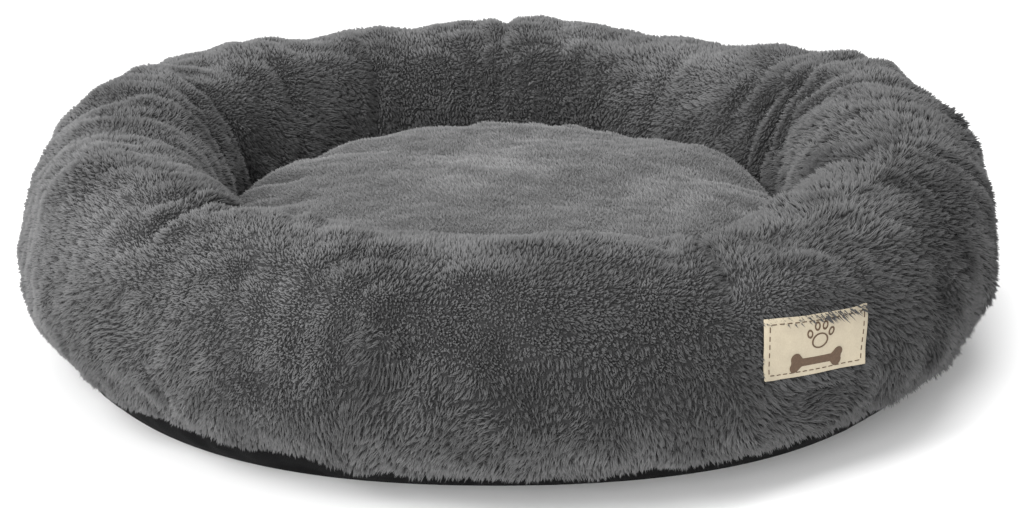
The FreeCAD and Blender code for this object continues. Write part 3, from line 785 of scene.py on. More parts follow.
def closed_sheet(points, normals, thickness, shade):
    """Open grid given a thickness inwards, with its rim closed."""
    columns, rows = points.shape[:2]
    index = np.arange(columns * rows).reshape(columns, rows)
    outer = np.stack([index[:-1, :-1], index[1:, :-1], index[1:, 1:], index[:-1, 1:]], -1)
    inner = outer[..., ::-1] + columns * rows
    loop = np.concatenate([index[:, 0], index[-1, 1:], index[-2::-1, -1], index[0, -2:0:-1]])
    after = np.roll(loop, -1)
    rim = np.stack([after, loop, loop + columns * rows, after + columns * rows], -1)
    both = np.concatenate([points.reshape(-1, 3),
                           (points - normals * thickness).reshape(-1, 3)])
    across, up = np.meshgrid(np.linspace(0.0, 1.0, columns), np.linspace(0.0, 1.0, rows),
                             indexing="ij")
    # the backing takes colours near the dark root end of the ramp: painted shade under the pile
    uvs = np.tile(np.stack([shade + 0.1 * across, 0.1 + 0.05 * up], -1).reshape(-1, 2), (2, 1))
    return both, np.concatenate([outer.reshape(-1, 4), inner.reshape(-1, 4), rim]), uvs


def scattered(start, end, pitch, draw):
    """Azimuths and section angles about one pitch apart over a panel."""
    span = SECTION_END - SECTION_START
    rows = int(span * GIRTH / pitch)
    azimuths, sections = [], []
    for row in range(rows):
        section = SECTION_START + span * (row + 0.5) / rows
        reach = RING_RADIUS + OUTER_HALF * math.cos(section)
        count = int(reach * (end - start) / pitch)
        places = (np.arange(count) + 0.5 + draw.uniform(-0.5, 0.5, count)) / count
        azimuths.append(start + (end - start) * places)
        sections.append(section + draw.uniform(-0.5, 0.5, count) * span / rows)
    return np.concatenate(azimuths), np.concatenate(sections)


def pile_direction(points, section, along, around, shaggy, draw):
    """Way the pile is combed: along the tube on its crest and down its sides, with whorls."""
    down = np.where(np.cos(section)[:, None] > 0.0, -around, around)
    hang = smooth_step(0.1, 0.8, np.abs(np.cos(section)))
    hang = np.maximum(hang, 0.35)[:, None]
    base = unit(along * (1.0 - hang) * 0.8 + down * hang)
    side = unit(np.cross(np.cross(along, around), base))
    swirl = (0.20 + 0.5 * shaggy) * (waves(points, 0.13, 21) + 0.5 * waves(points, 0.045, 22)) \
        + draw.normal(0.0, 0.17, len(points))
    return unit(base * np.cos(swirl)[:, None] + side * np.sin(swirl)[:, None])


def label_place():
    """Azimuth and section angle of the label's middle."""
    low, high = Vector(LABEL_BOX[0]), Vector(LABEL_BOX[1])
    middle = (low + high) / 2.0
    return math.atan2(middle.y, middle.x), math.radians(LABEL_TILT)


def from_label(azimuth, section):
    """Distance right of and above the label's middle, in metres, for points of the ring."""
    middle, tilt = label_place()
    right = angle_between(azimuth, middle) * (RING_RADIUS + OUTER_HALF * math.cos(tilt))
    up = (section - tilt) * LABEL_BEND
    return (right * math.cos(LABEL_SLANT) + up * math.sin(LABEL_SLANT),
            up * math.cos(LABEL_SLANT) - right * math.sin(LABEL_SLANT))


def cells(across, along, wide, high, seed):
    """Scattered clumps: offset to the clump's middle, how near its edge, and its own numbers."""
    table = np.random.default_rng(seed).random((97, 89, 4))
    column, row = np.floor(across / wide).astype(int), np.floor(along / high).astype(int)
    nearest = np.full(len(across), 9.0)
    second = nearest.copy()
    offset, own = np.zeros((len(across), 2)), np.zeros((len(across), 4))
    for right in (-1, 0, 1):
        for up in (-1, 0, 1):
            cell = table[(column + right) % 97, (row + up) % 89]
            side = (column + right + 0.5 + (cell[:, 0] - 0.5) * 0.9) * wide - across
            rise = (row + up + 0.5 + (cell[:, 1] - 0.5) * 0.9) * high - along
            away = np.hypot(side / wide, rise / high)
            closer = away < nearest
            second = np.where(closer, nearest, np.minimum(second, away))
            nearest = np.where(closer, away, nearest)
            offset[closer, 0], offset[closer, 1] = side[closer], rise[closer]
            own[closer] = cell[closer]
    return offset, nearest / second, own


def shagginess(points, azimuth, section):
    """0 where the pile is short and smooth, 1 where it is long and parted into clumps; the pile's
    colour is also painted darker with it, as painted shade.
    """
    around = np.degrees(np.mod(azimuth, FULL_TURN))
    up = np.degrees(section)
    right = bell(angle_between(azimuth, math.radians(-22.0)), math.radians(42.0))
    low_front = bell(around - 268.0, 42.0) * (1.0 - smooth_step(8.0, 48.0, up))
    inner_back = (smooth_step(40.0, 75.0, around) * (1.0 - smooth_step(135.0, 165.0, around))
                  * smooth_step(85.0, 125.0, up))
    amount = 0.16 + 0.75 * right + 0.55 * low_front + 0.4 * inner_back
    amount += 0.14 * waves(points, 0.09, 35)
    return np.clip(amount, 0.0, 1.0)


def painted_light_far_side(azimuth, section):
    """1 on the crest and the inside of the far side, where the pile is painted paler as painted
    light, 0 elsewhere.
    """
    around = np.degrees(np.mod(azimuth, FULL_TURN))
    up = np.degrees(section)
    return (smooth_step(20.0, 50.0, around) * (1.0 - smooth_step(135.0, 165.0, around))
            * (0.3 * smooth_step(35.0, 60.0, up) + 0.7 * smooth_step(95.0, 130.0, up)))


def lower_edge(azimuth):
    """Section angle of the panels' lower seam, which waves a little and droops at the front."""
    drooping = bell(angle_between(azimuth, math.radians(250.0)), 0.6)
    return SECTION_START - 0.05 * drooping + 0.02 * np.sin(5.0 * azimuth)


def panel_backing(surface, start, end):
    """Backing cloth of one panel, as a closed sheet between two azimuths."""
    azimuth = np.linspace(start, end, int((end - start) / math.radians(1.0)))
    azimuth, share = np.meshgrid(azimuth, np.linspace(0.0, 1.0, PANEL_ROWS), indexing="ij")
    section = lower_edge(azimuth) * (1.0 - share) + SECTION_END * share
    points, normals, _, _ = surface.sample(azimuth, section)
    return closed_sheet(points, normals, BACKING_THICKNESS, 0.5)


def tuft_places(start, end, pitch, draw):
    """Where a panel's tufts stand: none under the label, and fewer low on the inside."""
    azimuth, section = scattered(start, end, pitch, draw)
    right, up = from_label(azimuth, section)
    covered = ((np.abs(right) < LABEL_WIDTH / 2.0 + 0.0004)
               & (up > -LABEL_HEIGHT / 2.0 - 0.0004) & (up < LABEL_HEIGHT / 2.0 - LABEL_TUCK))
    hidden = (section > math.radians(195.0)) & (draw.uniform(size=len(section)) < 0.6)
    shown = ~(covered | hidden) & (section > lower_edge(azimuth))
    return azimuth[shown], section[shown]


def fanned_out(combs, azimuth, section, along, around):
    """Comb the pile out from the whorl's middle; also how strongly, from 0 to 1."""
    beside = np.stack([angle_between(azimuth, WHORL[0]) * OUTER_REACH,
                       (section - WHORL[1]) * GIRTH], -1)
    whorl = bell(np.linalg.norm(beside - (0.0, 0.004), axis=1), WHORL[2])
    fanned = unit(along * beside[:, :1] + around * (beside[:, 1:] - 0.015))
    return unit(combs * (1.0 - whorl)[:, None] + fanned * (1.6 * whorl)[:, None]), whorl


def lay_over_label(azimuth, section, around, combs, lean, length):
    """Lay the tufts at the label's upper edge down over it, longer than the rest."""
    right, up = from_label(azimuth, section)
    over = ((np.abs(right) < LABEL_WIDTH / 2.0 + 0.002) & (up > 0.0)
            & (up < LABEL_HEIGHT / 2.0 + 0.004))
    combs[over] = unit(combs[over] * 0.3 - around[over])
    lean[over] = np.maximum(lean[over], 0.7)
    length[over & (up > LABEL_HEIGHT / 2.0 - LABEL_TUCK)] *= 2.1


def ring_panel(surface, name, start, end, plush, number):
    """One cover panel: its backing cloth and its pile, gathered in clumps."""
    start, end = math.radians(start + SEAM_GAP), math.radians(end - SEAM_GAP)
    draw = np.random.default_rng(300 + number)
    azimuth, section = tuft_places(start, end, plush.pitch, draw)
    roots, normals, along, around = surface.sample(azimuth, section)
    count = len(roots)
    shaggy = shagginess(roots, azimuth, section)
    combs = pile_direction(roots, section, along, around, shaggy, draw)
    combs, whorl = fanned_out(combs, azimuth, section, along, around)
    shaggy = np.clip(shaggy + 0.8 * whorl, 0.0, 1.3)
    warp = np.stack([waves(roots, 0.06, 36), waves(roots, 0.06, 37)], -1) * 0.003
    offset, edge, own = cells(azimuth * RING_RADIUS + warp[:, 0], section * GIRTH + warp[:, 1],
                              plush.clump, plush.clump * 1.8, 38)
    gather = along * offset[:, :1] + around * offset[:, 1:]
    parted = np.clip(0.6 + 0.4 * waves(roots, 0.022, 39) + 0.4 * shaggy, 0.1, 1.2)
    rim = smooth_step(0.5, 1.0, edge) * parted
    length = (plush.pile + plush.shag * shaggy) * np.clip(
        1.0 + 0.3 * (own[:, 2] - 0.5) + draw.normal(0.0, 0.08, count), 0.5, 1.5)
    length *= 1.0 - (0.32 + 0.24 * shaggy) * rim
    hem = smooth_step(0.0, 0.10, section - lower_edge(azimuth))
    length *= 0.55 + 0.45 * hem
    lean = np.clip(0.20 + 0.55 * shaggy + 0.25 * (own[:, 3] - 0.5)
                   + draw.normal(0.0, 0.10, count), 0.03, 1.15)
    lay_over_label(azimuth, section, around, combs, lean, length)
    # tone: slow and random changes of colour, made paler on the far side as painted light and
    # darker where the pile is shaggy as painted shade
    tone = (0.54 + 0.07 * waves(roots, 0.08, 32) + 0.07 * waves(roots, 0.03, 33)
            + 0.14 * (own[:, 2] - 0.5) - 0.33 * shaggy + 0.36 * painted_light_far_side(azimuth, section)
            + draw.normal(0.0, 0.05, count))
    width = plush.pitch * 0.84 * draw.uniform(0.75, 1.2, count)
    # roots, and the tips near clump edges, take the dark end of the ramp: painted shade in the gaps
    # between clumps, deeper where the pile is shaggy
    root = np.clip(0.62 - 0.62 * rim - 0.25 * shaggy, 0.0, 0.6)
    tufts = spike_mesh(roots, normals, combs, length, width, tone, lean,
                       gather * (0.25 + 0.45 * shaggy)[:, None],
                       root, 1.0 - (0.35 + 0.35 * shaggy) * rim)
    return merged(f"plush_panel_{name}", [panel_backing(surface, start, end), tufts])


RING = {}


class PETBED_OT_ring_cover(bpy.types.Operator):
    """Make the five plush panels of the ring"""

    bl_idname = "petbed.ring_cover"
    bl_label = "Ring Cover"

    def execute(self, context):
        plush = context.scene.petbed_plush
        surface = RING["surface"] = ring_surface(plush.pile_depth)
        material = plush_material("ring_plush", plush.ring_root_painted_shade[:], plush.ring_tip[:], 0.15)
        for number, (name, start, end) in enumerate(PANELS):
            panel = ring_panel(surface, name, start, end, plush, number)
            dress(panel, material, "bed")
            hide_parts(f"ring_cover_{name}")
        for name, node, depth, tone in (("ring_casing", "ring_liner", 0.014, 0.8),
                                        ("ring_stuffing", "ring_fill", 0.017, 0.9)):
            inner = RING["bag"][::3, ::2] - Surface(RING["bag"]).normals[::3, ::2] * depth
            inner[..., 2] = np.maximum(inner[..., 2], 0.004 + 0.3 * depth)
            piece = closed_grid(name, inner)
            dress(piece, felt_material(name, (tone, tone, tone)), "bed")
            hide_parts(node)
        return {"FINISHED"}


# ------------------------------------------------------------------ the base
def lathe(name, profile, columns, offset=0.0):
    """Turn a profile of (reach, height) about the bed's axis with the spin operator."""
    piece = linked(name, [(offset + reach, 0.0, height) for reach, height in profile],
                   [(at, at + 1) for at in range(len(profile) - 1)], [])
    edit_all(piece,
             lambda: bpy.ops.mesh.spin(steps=columns, angle=FULL_TURN, center=(0, 0, 0),
                                       axis=(0, 0, 1)),
             lambda: bpy.ops.mesh.remove_doubles(threshold=1e-5), face_outwards)
    smooth_all(piece)
    return piece


class PETBED_OT_base(bpy.types.Operator):
    """Make the black base cloth with its band, the grip dots and the floor of the well"""

    bl_idname = "petbed.base"
    bl_label = "Base"

    def execute(self, context):
        trim = context.scene.petbed_trim
        black = weave_material("base_oxford", trim.base_black[:], 0.0011, 0.75, 0.00025, 0.3, 0.08)
        # drawn as a flat washer: its reach beyond 4 becomes the share of the way up the band
        outer = [(share, 0.0) for share in (-2.0, 0.0, 0.12, 0.3, 0.5, 0.7, 0.9, 1.1)]
        inner = [(share, BAND_THICKNESS) for share in (1.1, 0.7, 0.3, 0.0, -2.0)]
        band = lathe("base_wrap", outer + inner + outer[:1], 360, 4.0)

        def drawn_up(points):
            """Run the band from the floor to the lower seam of the panels."""
            azimuth = np.arctan2(points[:, 1], points[:, 0])
            share = np.hypot(points[:, 0], points[:, 1]) - 4.0
            seam, normal, _, _ = RING["surface"].sample(azimuth, lower_edge(azimuth) + 0.02)
            out = unit(points * np.array([1.0, 1.0, 0.0]))
            flat_front = 0.022 * bell(angle_between(azimuth, -math.pi / 2.0), 0.55)
            flat_sides = 0.012 * np.cos(azimuth) ** 2 + 0.004 * np.cos(azimuth)
            reach = BASE_RADIUS - flat_front - flat_sides
            foot = out * (reach + 0.018 * np.minimum(share, 0.0))[:, None]
            foot[:, 2] = 0.0009
            rise = np.clip(share, 0.0, 1.2)[:, None]
            placed = foot * (1.0 - rise) + (seam - normal * 0.0012) * rise
            bow = np.sin(np.clip(share, 0.0, 1.0) * math.pi)
            push = bow * (0.0030 + 0.0010 * waves(placed, 0.06, 41)
                          + 0.0005 * waves(placed, 0.02, 42))
            return placed + out * push[:, None] + np.stack([0 * bow, 0 * bow, points[:, 2]], -1)

        moved_points(band, drawn_up)
        dress(band, black, "bed")
        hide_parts("base_band")

        sheet_radius = BASE_RADIUS - 0.027
        reaches = (0.0, 0.1, 0.2, sheet_radius)
        panel = lathe("base_sheet", [(reach, 0.0009) for reach in reaches]
                      + [(reach, 0.0018) for reach in reversed(reaches)], 180)
        dress(panel, black, "bed")
        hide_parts("base_panel")
        self.grip_dots(trim)

        lining = weave_material("lining_cloth", trim.lining_grey[:], 0.0009, 0.8, 0.0002)
        reach = FLOOR_CLOTH_BOX[1][0]
        top = FLOOR_CLOTH_BOX[1][2]
        rings = [reach * share for share in (0.0, 0.15, 0.3, 0.45, 0.6, 0.75, 0.9, 1.0)]
        well = lathe("well_lining", [(r, top) for r in rings]
                     + [(r, top - 0.0008) for r in reversed(rings)], 180)
        moved_points(well, lambda points: points - np.stack([
            np.zeros(len(points)), np.zeros(len(points)),
            0.00022 * (1.0 + np.clip(waves(points * np.array([1, 1, 0]), 0.09, 43), -1, 1))], -1))
        dress(well, lining, "bed")
        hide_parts("well_floor_cloth")
        return {"FINISHED"}

    def grip_dots(self, trim):
        """Small rubbery domes printed under the base, in rings."""
        deselect()
        bpy.ops.mesh.primitive_cylinder_add(vertices=8, radius=0.0022, depth=0.0009,
                                            location=(0, 0, 0.00045))
        dot = edit_all(bpy.context.object,
                       lambda: bpy.ops.mesh.bevel(offset=0.0004, segments=1))
        shape = points_of(apply_place(dot))
        faces = [list(face.vertices) for face in dot.data.polygons]
        bpy.data.objects.remove(dot)
        points, polygons, pitch = [], [], 0.02
        for ring in range(1, int((BASE_RADIUS - 0.034) / pitch) + 1):
            count = int(FULL_TURN * ring)
            for step in range(count):
                turn = FULL_TURN * (step + 0.5 * (ring % 2)) / count
                place = np.array([math.cos(turn), math.sin(turn), 0.0]) * ring * pitch
                polygons += [[corner + len(points) * len(shape) for corner in face]
                             for face in faces]
                points.append(shape + place)
        dots = linked("grip_dots", np.concatenate(points).tolist(), [], polygons)
        rubber = print_material("grip_rubber", scaled(trim.base_black[:], 2.5))
        dress(dots, rubber, "bed")


# ------------------------------------------------------------------ the label
def label_point(right, up, lift):
    """Point of the label's face, bent round the ring, with its lower edge standing off."""
    azimuth, tilt = label_place()
    turned = right * math.cos(LABEL_SLANT) - up * math.sin(LABEL_SLANT)
    raised = up * math.cos(LABEL_SLANT) + right * math.sin(LABEL_SLANT)
    points, normals, _, _ = RING["surface"].sample(
        azimuth + turned / (RING_RADIUS + OUTER_HALF * math.cos(tilt)),
        tilt + raised / LABEL_BEND)
    low = np.clip(-up / LABEL_HEIGHT * 2.0, 0.0, 1.0) ** 2
    corner = low * np.clip(np.abs(right) / LABEL_WIDTH * 2.0, 0.0, 1.0) ** 4
    upright = 0.05 * up
    return points + normals * (0.0034 + lift + upright + 0.0015 * low
                               + 0.0012 * corner)[:, None]


def on_label_face(piece, lift):
    """Bend a flat piece, drawn in X and Y with its height in Z, onto the label."""
    apply_place(piece)
    moved_points(piece, lambda points: label_point(points[:, 0], points[:, 1],
                                                   points[:, 2] + lift))
    return piece


def flat_outline(name, outline, thickness):
    """Thin plate with this outline, lying in X and Y."""
    piece = linked(name, [(x, y, 0.0) for x, y in outline], [], [list(range(len(outline)))])
    return edit_all(piece, thicken(thickness), face_outwards)


def oval_line(name, centre, wide, high, turn, stroke):
    """Drawn outline of an oval: a thin flat ring."""
    deselect()
    bpy.ops.mesh.primitive_circle_add(vertices=28, radius=1.0)
    share = 1.0 - stroke / min(wide, high)

    def inner_edge():
        bpy.ops.mesh.extrude_edges_move()
        bpy.ops.transform.resize(value=(share, share, 1.0), center_override=(0, 0, 0))

    piece = edit_all(bpy.context.object, inner_edge, thicken(PRINT_HEIGHT), face_outwards)
    piece.name = name
    piece.scale = (wide, high, 1.0)
    piece.rotation_euler = (0, 0, turn)
    piece.location = (centre[0], centre[1], 0.0)
    return apply_place(piece)


def bone_outline(length, shaft, knob):
    """Outline of a plain bone: two knobs at each end of a straight shaft."""
    points = []
    for quarter, (side, rise) in enumerate(((1, -1), (1, 1), (-1, 1), (-1, -1))):
        middle = (side * (length / 2.0 - knob), rise * knob * 0.8)
        first = (-150.0, -35.0, 30.0, 145.0)[quarter]
        for step in range(9):
            turn = math.radians(first + step * 23.0)
            points.append((middle[0] + knob * math.cos(turn), middle[1] + knob * math.sin(turn)))
        if quarter in (1, 3):
            points.append((side * (length / 2.0 - 2.4 * knob), rise * shaft / 2.0))
            points.append((-side * (length / 2.0 - 2.4 * knob), rise * shaft / 2.0))
    return points


class PETBED_OT_label(bpy.types.Operator):
    """Make the sewn label with its stitches and its paw and bone print"""

    bl_idname = "petbed.label"
    bl_label = "Label"

    def execute(self, context):
        trim = context.scene.petbed_trim
        deselect()
        bpy.ops.mesh.primitive_grid_add(x_subdivisions=26, y_subdivisions=14, size=1.0)
        label = bpy.context.object
        label.name = label.data.name = "label_patch"
        label.scale = (LABEL_WIDTH, LABEL_HEIGHT, 1.0)
        apply_place(label)
        edit_all(label, thicken(LABEL_THICKNESS), face_outwards)
        on_label_face(label, -LABEL_THICKNESS)
        finish_with(label, "BEVEL", width=0.0003, segments=2, limit_method="ANGLE")
        bpy.ops.object.shade_smooth_by_angle(angle=math.radians(40.0))
        dress(label, leatherette_material("label_leatherette", trim.label_cream[:]), "bed")
        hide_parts("label")
        self.stitches(trim)
        self.motif(trim)
        return {"FINISHED"}

    def stitches(self, trim):
        """Dashes of thread round the label, sunk a little into its face."""
        inset, gap = 0.0036, 0.0016
        wide, high = LABEL_WIDTH / 2.0 - inset, LABEL_HEIGHT / 2.0 - inset
        places = []
        for run, offset, upright in ((wide, high, False), (high, wide, True)):
            count = int(2.0 * run / (trim.stitch + gap))
            for step in range(count):
                at = (step + 0.5) * 2.0 * run / count - run
                for side in (-1.0, 1.0):
                    places.append((side * offset, at, True) if upright
                                  else (at, side * offset, False))
        dashes = []
        for right, up, upright in places:
            deselect()
            bpy.ops.mesh.primitive_cylinder_add(
                vertices=8, radius=0.00032, depth=trim.stitch, location=(right, up, 0.0),
                rotation=(math.pi / 2.0 if upright else 0.0, 0.0 if upright else math.pi / 2.0, 0))
            dashes.append(apply_place(bpy.context.object))
        piece = edit_all(join(dashes, "label_thread"),
                         lambda: bpy.ops.mesh.bevel(offset=0.00015, segments=2))
        on_label_face(piece, 0.00008)
        bpy.ops.object.shade_smooth_by_angle(angle=math.radians(60.0))
        dress(piece, thread_material("label_thread", trim.label_brown[:]), "bed")
        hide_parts("label_stitches")

    def motif(self, trim):
        """Line-drawn paw above a plain bone."""
        stroke = 0.00085
        lines = [oval_line("pad", (0.0, 0.0035), 0.0062, 0.005, 0.0, stroke)]
        for step, (across, up) in enumerate(((-0.0082, 0.0085), (-0.003, 0.0128),
                                             (0.003, 0.0128), (0.0082, 0.0085))):
            lines.append(oval_line(f"toe_{step}", (across, up), 0.0021, 0.0029,
                                   -across * 45.0, stroke))
        bone = flat_outline("bone", [(x, y - 0.0098) for x, y in
                                     bone_outline(0.040, 0.0054, 0.0037)], PRINT_HEIGHT)
        piece = join(lines + [bone], "label_print")
        on_label_face(piece, 0.00005)
        dress(piece, print_material("label_ink", trim.label_brown[:]), "bed")
        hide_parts("label_motif")


# ------------------------------------------------------------------ the cushion
def cushion_profile(pile):
    """Half section of the cushion from the middle of its underside to its crown."""
    radius = CUSHION_RADIUS - pile
    top = CUSHION_BOX[1][2] - pile - 0.003
    foot = BOTTOM_BOX[0][2] + 0.001
    border = BORDER_BOX[1][0] - 0.001
    seam = CUSHION_BOX[0][2]
    profile = [(share * (border - 0.01), foot) for share in np.linspace(0.0, 1.0, 28)]
    profile += [(border - 0.01 + 0.01 * math.sin(turn), foot + 0.01 * (1.0 - math.cos(turn)))
                for turn in np.linspace(0.3, math.pi / 2.0, 5)]
    profile += [(border, height) for height in np.linspace(foot + 0.014, seam - 0.002, 7)]
    corner, middle = 0.019, seam + 0.019
    for turn in np.linspace(-math.pi / 2.0 + 0.5, math.pi / 2.0 - 0.2, 15):
        profile.append((radius - corner + corner * math.cos(turn),
                        middle + corner * math.sin(turn)))
    last_reach, last_height = profile[-1]
    for share in np.linspace(1.0, 0.0, 28)[1:]:
        profile.append((last_reach * share, top - (top - last_height) * share ** 2.4))
    return profile


class PETBED_OT_cushion(bpy.types.Operator):
    """Make the loose cushion: plush top, plain border and underside, casing and filling"""

    bl_idname = "petbed.cushion"
    bl_label = "Cushion"

    def execute(self, context):
        plush, trim = context.scene.petbed_plush, context.scene.petbed_trim
        seam = CUSHION_BOX[0][2]
        pad = lathe("cushion_pad", cushion_profile(0.0028), 220)
        only(pad)
        pad.data.remesh_voxel_size = 0.005
        bpy.ops.object.voxel_remesh()
        held = (points_of(pad)[:, 2] < seam + 0.004).astype(float)
        shaped = puffed(pad, held, 0.004, 2.0, 0.008, 20.0)
        moved_points(pad, lambda points: shaped)
        finish_with(pad, "SUBSURF", levels=1, render_levels=1)
        moved_points(pad, self.soften)
        self.stuffing(pad)
        self.plain_cloth(pad, seam, trim)
        self.plush_top(pad, seam, plush)
        bpy.data.objects.remove(pad)
        return {"FINISHED"}

    def soften(self, points):
        """Slow dents over the top, and folds where the cushion is pressed against the ring."""
        upper = smooth_step(CUSHION_BOX[0][2] + 0.004, CUSHION_BOX[0][2] + 0.02, points[:, 2])
        reach = np.hypot(points[:, 0], points[:, 1])
        turn = np.arctan2(points[:, 1], points[:, 0])
        push = (0.0016 * waves(points, 0.13, 51) + 0.0008 * waves(points, 0.05, 52)
                + 0.0004 * waves(points, 0.022, 53))
        for azimuth, width, depth in ((168.0, 0.05, 0.004), (190.0, 0.06, 0.004),
                                      (140.0, 0.06, 0.003), (60.0, 0.05, 0.002),
                                      (100.0, 0.07, 0.002), (10.0, 0.05, 0.003)):
            away = np.abs(angle_between(turn, math.radians(azimuth)))
            push -= depth * bell(away, width) * smooth_step(0.11, 0.18, reach)
        edge = smooth_step(CUSHION_RADIUS - 0.006, CUSHION_RADIUS - 0.002, reach)
        lifted = points.copy()
        lifted[:, 2] += push * upper * (1.0 - edge)
        return lifted

    def stuffing(self, pad):
        """Casing and filling inside the covers."""
        for name, node, depth, slot in (("cushion_casing", "cushion_liner", 0.0045, "liner"),
                                        ("cushion_stuffing", "cushion_fill", 0.0065, "filling")):
            piece = finish_with(copied(pad, name), "DECIMATE", ratio=0.16)
            normals = np.array([vertex.normal[:] for vertex in piece.data.vertices])
            moved_points(piece, lambda points: points - normals * depth)
            tone = 0.8 if slot == "liner" else 0.9
            dress(piece, felt_material(name, (tone, tone, tone)), "cushion")
            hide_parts(node)

    def part_of(self, pad, name, keep, thickness):
        """Copy the faces of the pad whose middles satisfy keep, as a closed cloth."""
        piece = copied(pad, name)
        cloth = bmesh.new()
        cloth.from_mesh(piece.data)
        unwanted = [face for face in cloth.faces if not keep(face.calc_center_median())]
        bmesh.ops.delete(cloth, geom=unwanted, context="FACES")
        cloth.to_mesh(piece.data)
        cloth.free()
        finish_with(piece, "SOLIDIFY", thickness=thickness, offset=-1.0)
        smooth_all(piece)
        return piece

    def plain_cloth(self, pad, seam, trim):
        """Border and underside, cut from the pad below the seam."""
        lining = weave_material("cushion_lining", trim.lining_grey[:], 0.0009, 0.8, 0.0002)
        corner = BORDER_BOX[0][2]
        for name, node, keep in (
                ("plain_border", "cushion_border", lambda at: corner < at.z <= seam),
                ("plain_underside", "cushion_bottom_cover", lambda at: at.z <= corner)):
            piece = self.part_of(pad, name, keep, PLAIN_THICKNESS)
            dress(piece, lining, "cushion")
            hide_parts(node)

    def plush_top(self, pad, seam, plush):
        """Backing cloth of the top, with short pile set on it by rays from above and outside."""
        backing = self.part_of(pad, "top_backing", lambda at: at.z > seam, 0.0015)
        mesh = backing.data
        points = points_of(backing)
        quads = np.array([list(face.vertices) for face in mesh.polygons if len(face.vertices) == 4])
        triangles = np.array([list(face.vertices) for face in mesh.polygons
                              if len(face.vertices) == 3]).reshape(-1, 3)
        # the backing takes a colour near the dark root end of the ramp: painted shade under the
        # pile
        uvs = np.tile([0.5, 0.15], (len(points), 1))
        parts = [(points, quads, uvs)]
        if len(triangles):
            parts.append((points, triangles, uvs))
        bpy.data.objects.remove(backing)
        draw = np.random.default_rng(77)
        tree = BVHTree.FromObject(pad, bpy.context.evaluated_depsgraph_get())
        roots, normals = [], []

        def plant(start, way, levelest):
            """Root a tuft where a ray meets the cushion, unless the cloth there is too level."""
            spot, normal, _, _ = tree.ray_cast(start, way)
            if spot is not None and normal.z < levelest:
                roots.append(spot[:])
                normals.append(normal[:])

        pitch = plush.cushion_pitch
        steps = int(CUSHION_RADIUS / pitch)
        for row in range(-steps, steps + 1):
            for column in range(-steps, steps + 1):
                x, y = ((np.array([column + 0.5 * (row % 2), row])
                         + draw.uniform(-0.45, 0.45, 2)) * pitch)
                if x * x + y * y <= (CUSHION_RADIUS - 0.006) ** 2:
                    plant(Vector((x, y, 0.2)), Vector((0, 0, -1)), 2.0)
        rise = np.arange(seam + 0.002, CUSHION_BOX[1][2] - 0.021, pitch)
        count = int(FULL_TURN * CUSHION_RADIUS / pitch)
        for height in rise:
            for turn in (np.arange(count) + draw.uniform(0.0, 0.9, count)) / count * 2 * math.pi:
                way = Vector((-math.cos(turn), -math.sin(turn), 0.0))
                side = Vector((0, 0, height + draw.uniform(-0.5, 0.5) * pitch)) - way * 0.25
                plant(side, way, 0.8)
        roots, normals = np.array(roots), np.array(normals)
        parts += self.short_pile(roots, normals, plush, draw)
        top = merged("cushion_plush_top", parts)
        material = plush_material("cushion_plush", plush.cushion_root_painted_shade[:], plush.cushion_tip[:],
                                  0.3)
        dress(top, material, "cushion")
        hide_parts("cushion_top_cover")

    def short_pile(self, roots, normals, plush, draw):
        """Short pile brushed to the front left, in slow swirls."""
        count = len(roots)
        brushed = 3.9 + 0.3 * waves(roots, 0.16, 61) + 0.25 * waves(roots, 0.05, 62) \
            + draw.normal(0.0, 0.3, count)
        flat = np.stack([np.cos(brushed), np.sin(brushed), np.zeros(count)], -1)
        combs = unit(flat - normals * (flat * normals).sum(-1, keepdims=True))
        warp = 0.003 * waves(roots, 0.05, 66)
        offset, edge, own = cells(roots[:, 0] + warp, roots[:, 1] - warp + roots[:, 2],
                                  plush.clump * 1.1, plush.clump * 0.85, 67)
        gather = np.concatenate([offset, np.zeros((count, 1))], -1)
        gather -= normals * (gather * normals).sum(-1, keepdims=True)
        rim = smooth_step(0.6, 1.0, edge)
        length = plush.cushion_pile * np.clip(
            1.0 + 0.25 * (own[:, 2] - 0.5) + draw.normal(0.0, 0.1, count) - 0.2 * rim, 0.5, 1.4)
        # clump edges get a lower tone and darker roots and tips: painted shade in the gaps between
        # clumps
        tone = (0.5 + 0.03 * waves(roots, 0.08, 64) + 0.12 * (own[:, 2] - 0.5) - 0.1 * rim
                + draw.normal(0.0, 0.06, count))
        lean = np.clip(draw.normal(0.6, 0.13, count) + 0.3 * (own[:, 3] - 0.5), 0.1, 1.1)
        width = plush.cushion_pitch * 0.64 * draw.uniform(0.75, 1.25, count)
        return [spike_mesh(roots, normals, combs, length, width, tone, lean, gather * 0.3,
                           np.clip(0.5 - 0.4 * rim, 0.0, 1.0), 1.0 - 0.2 * rim)]


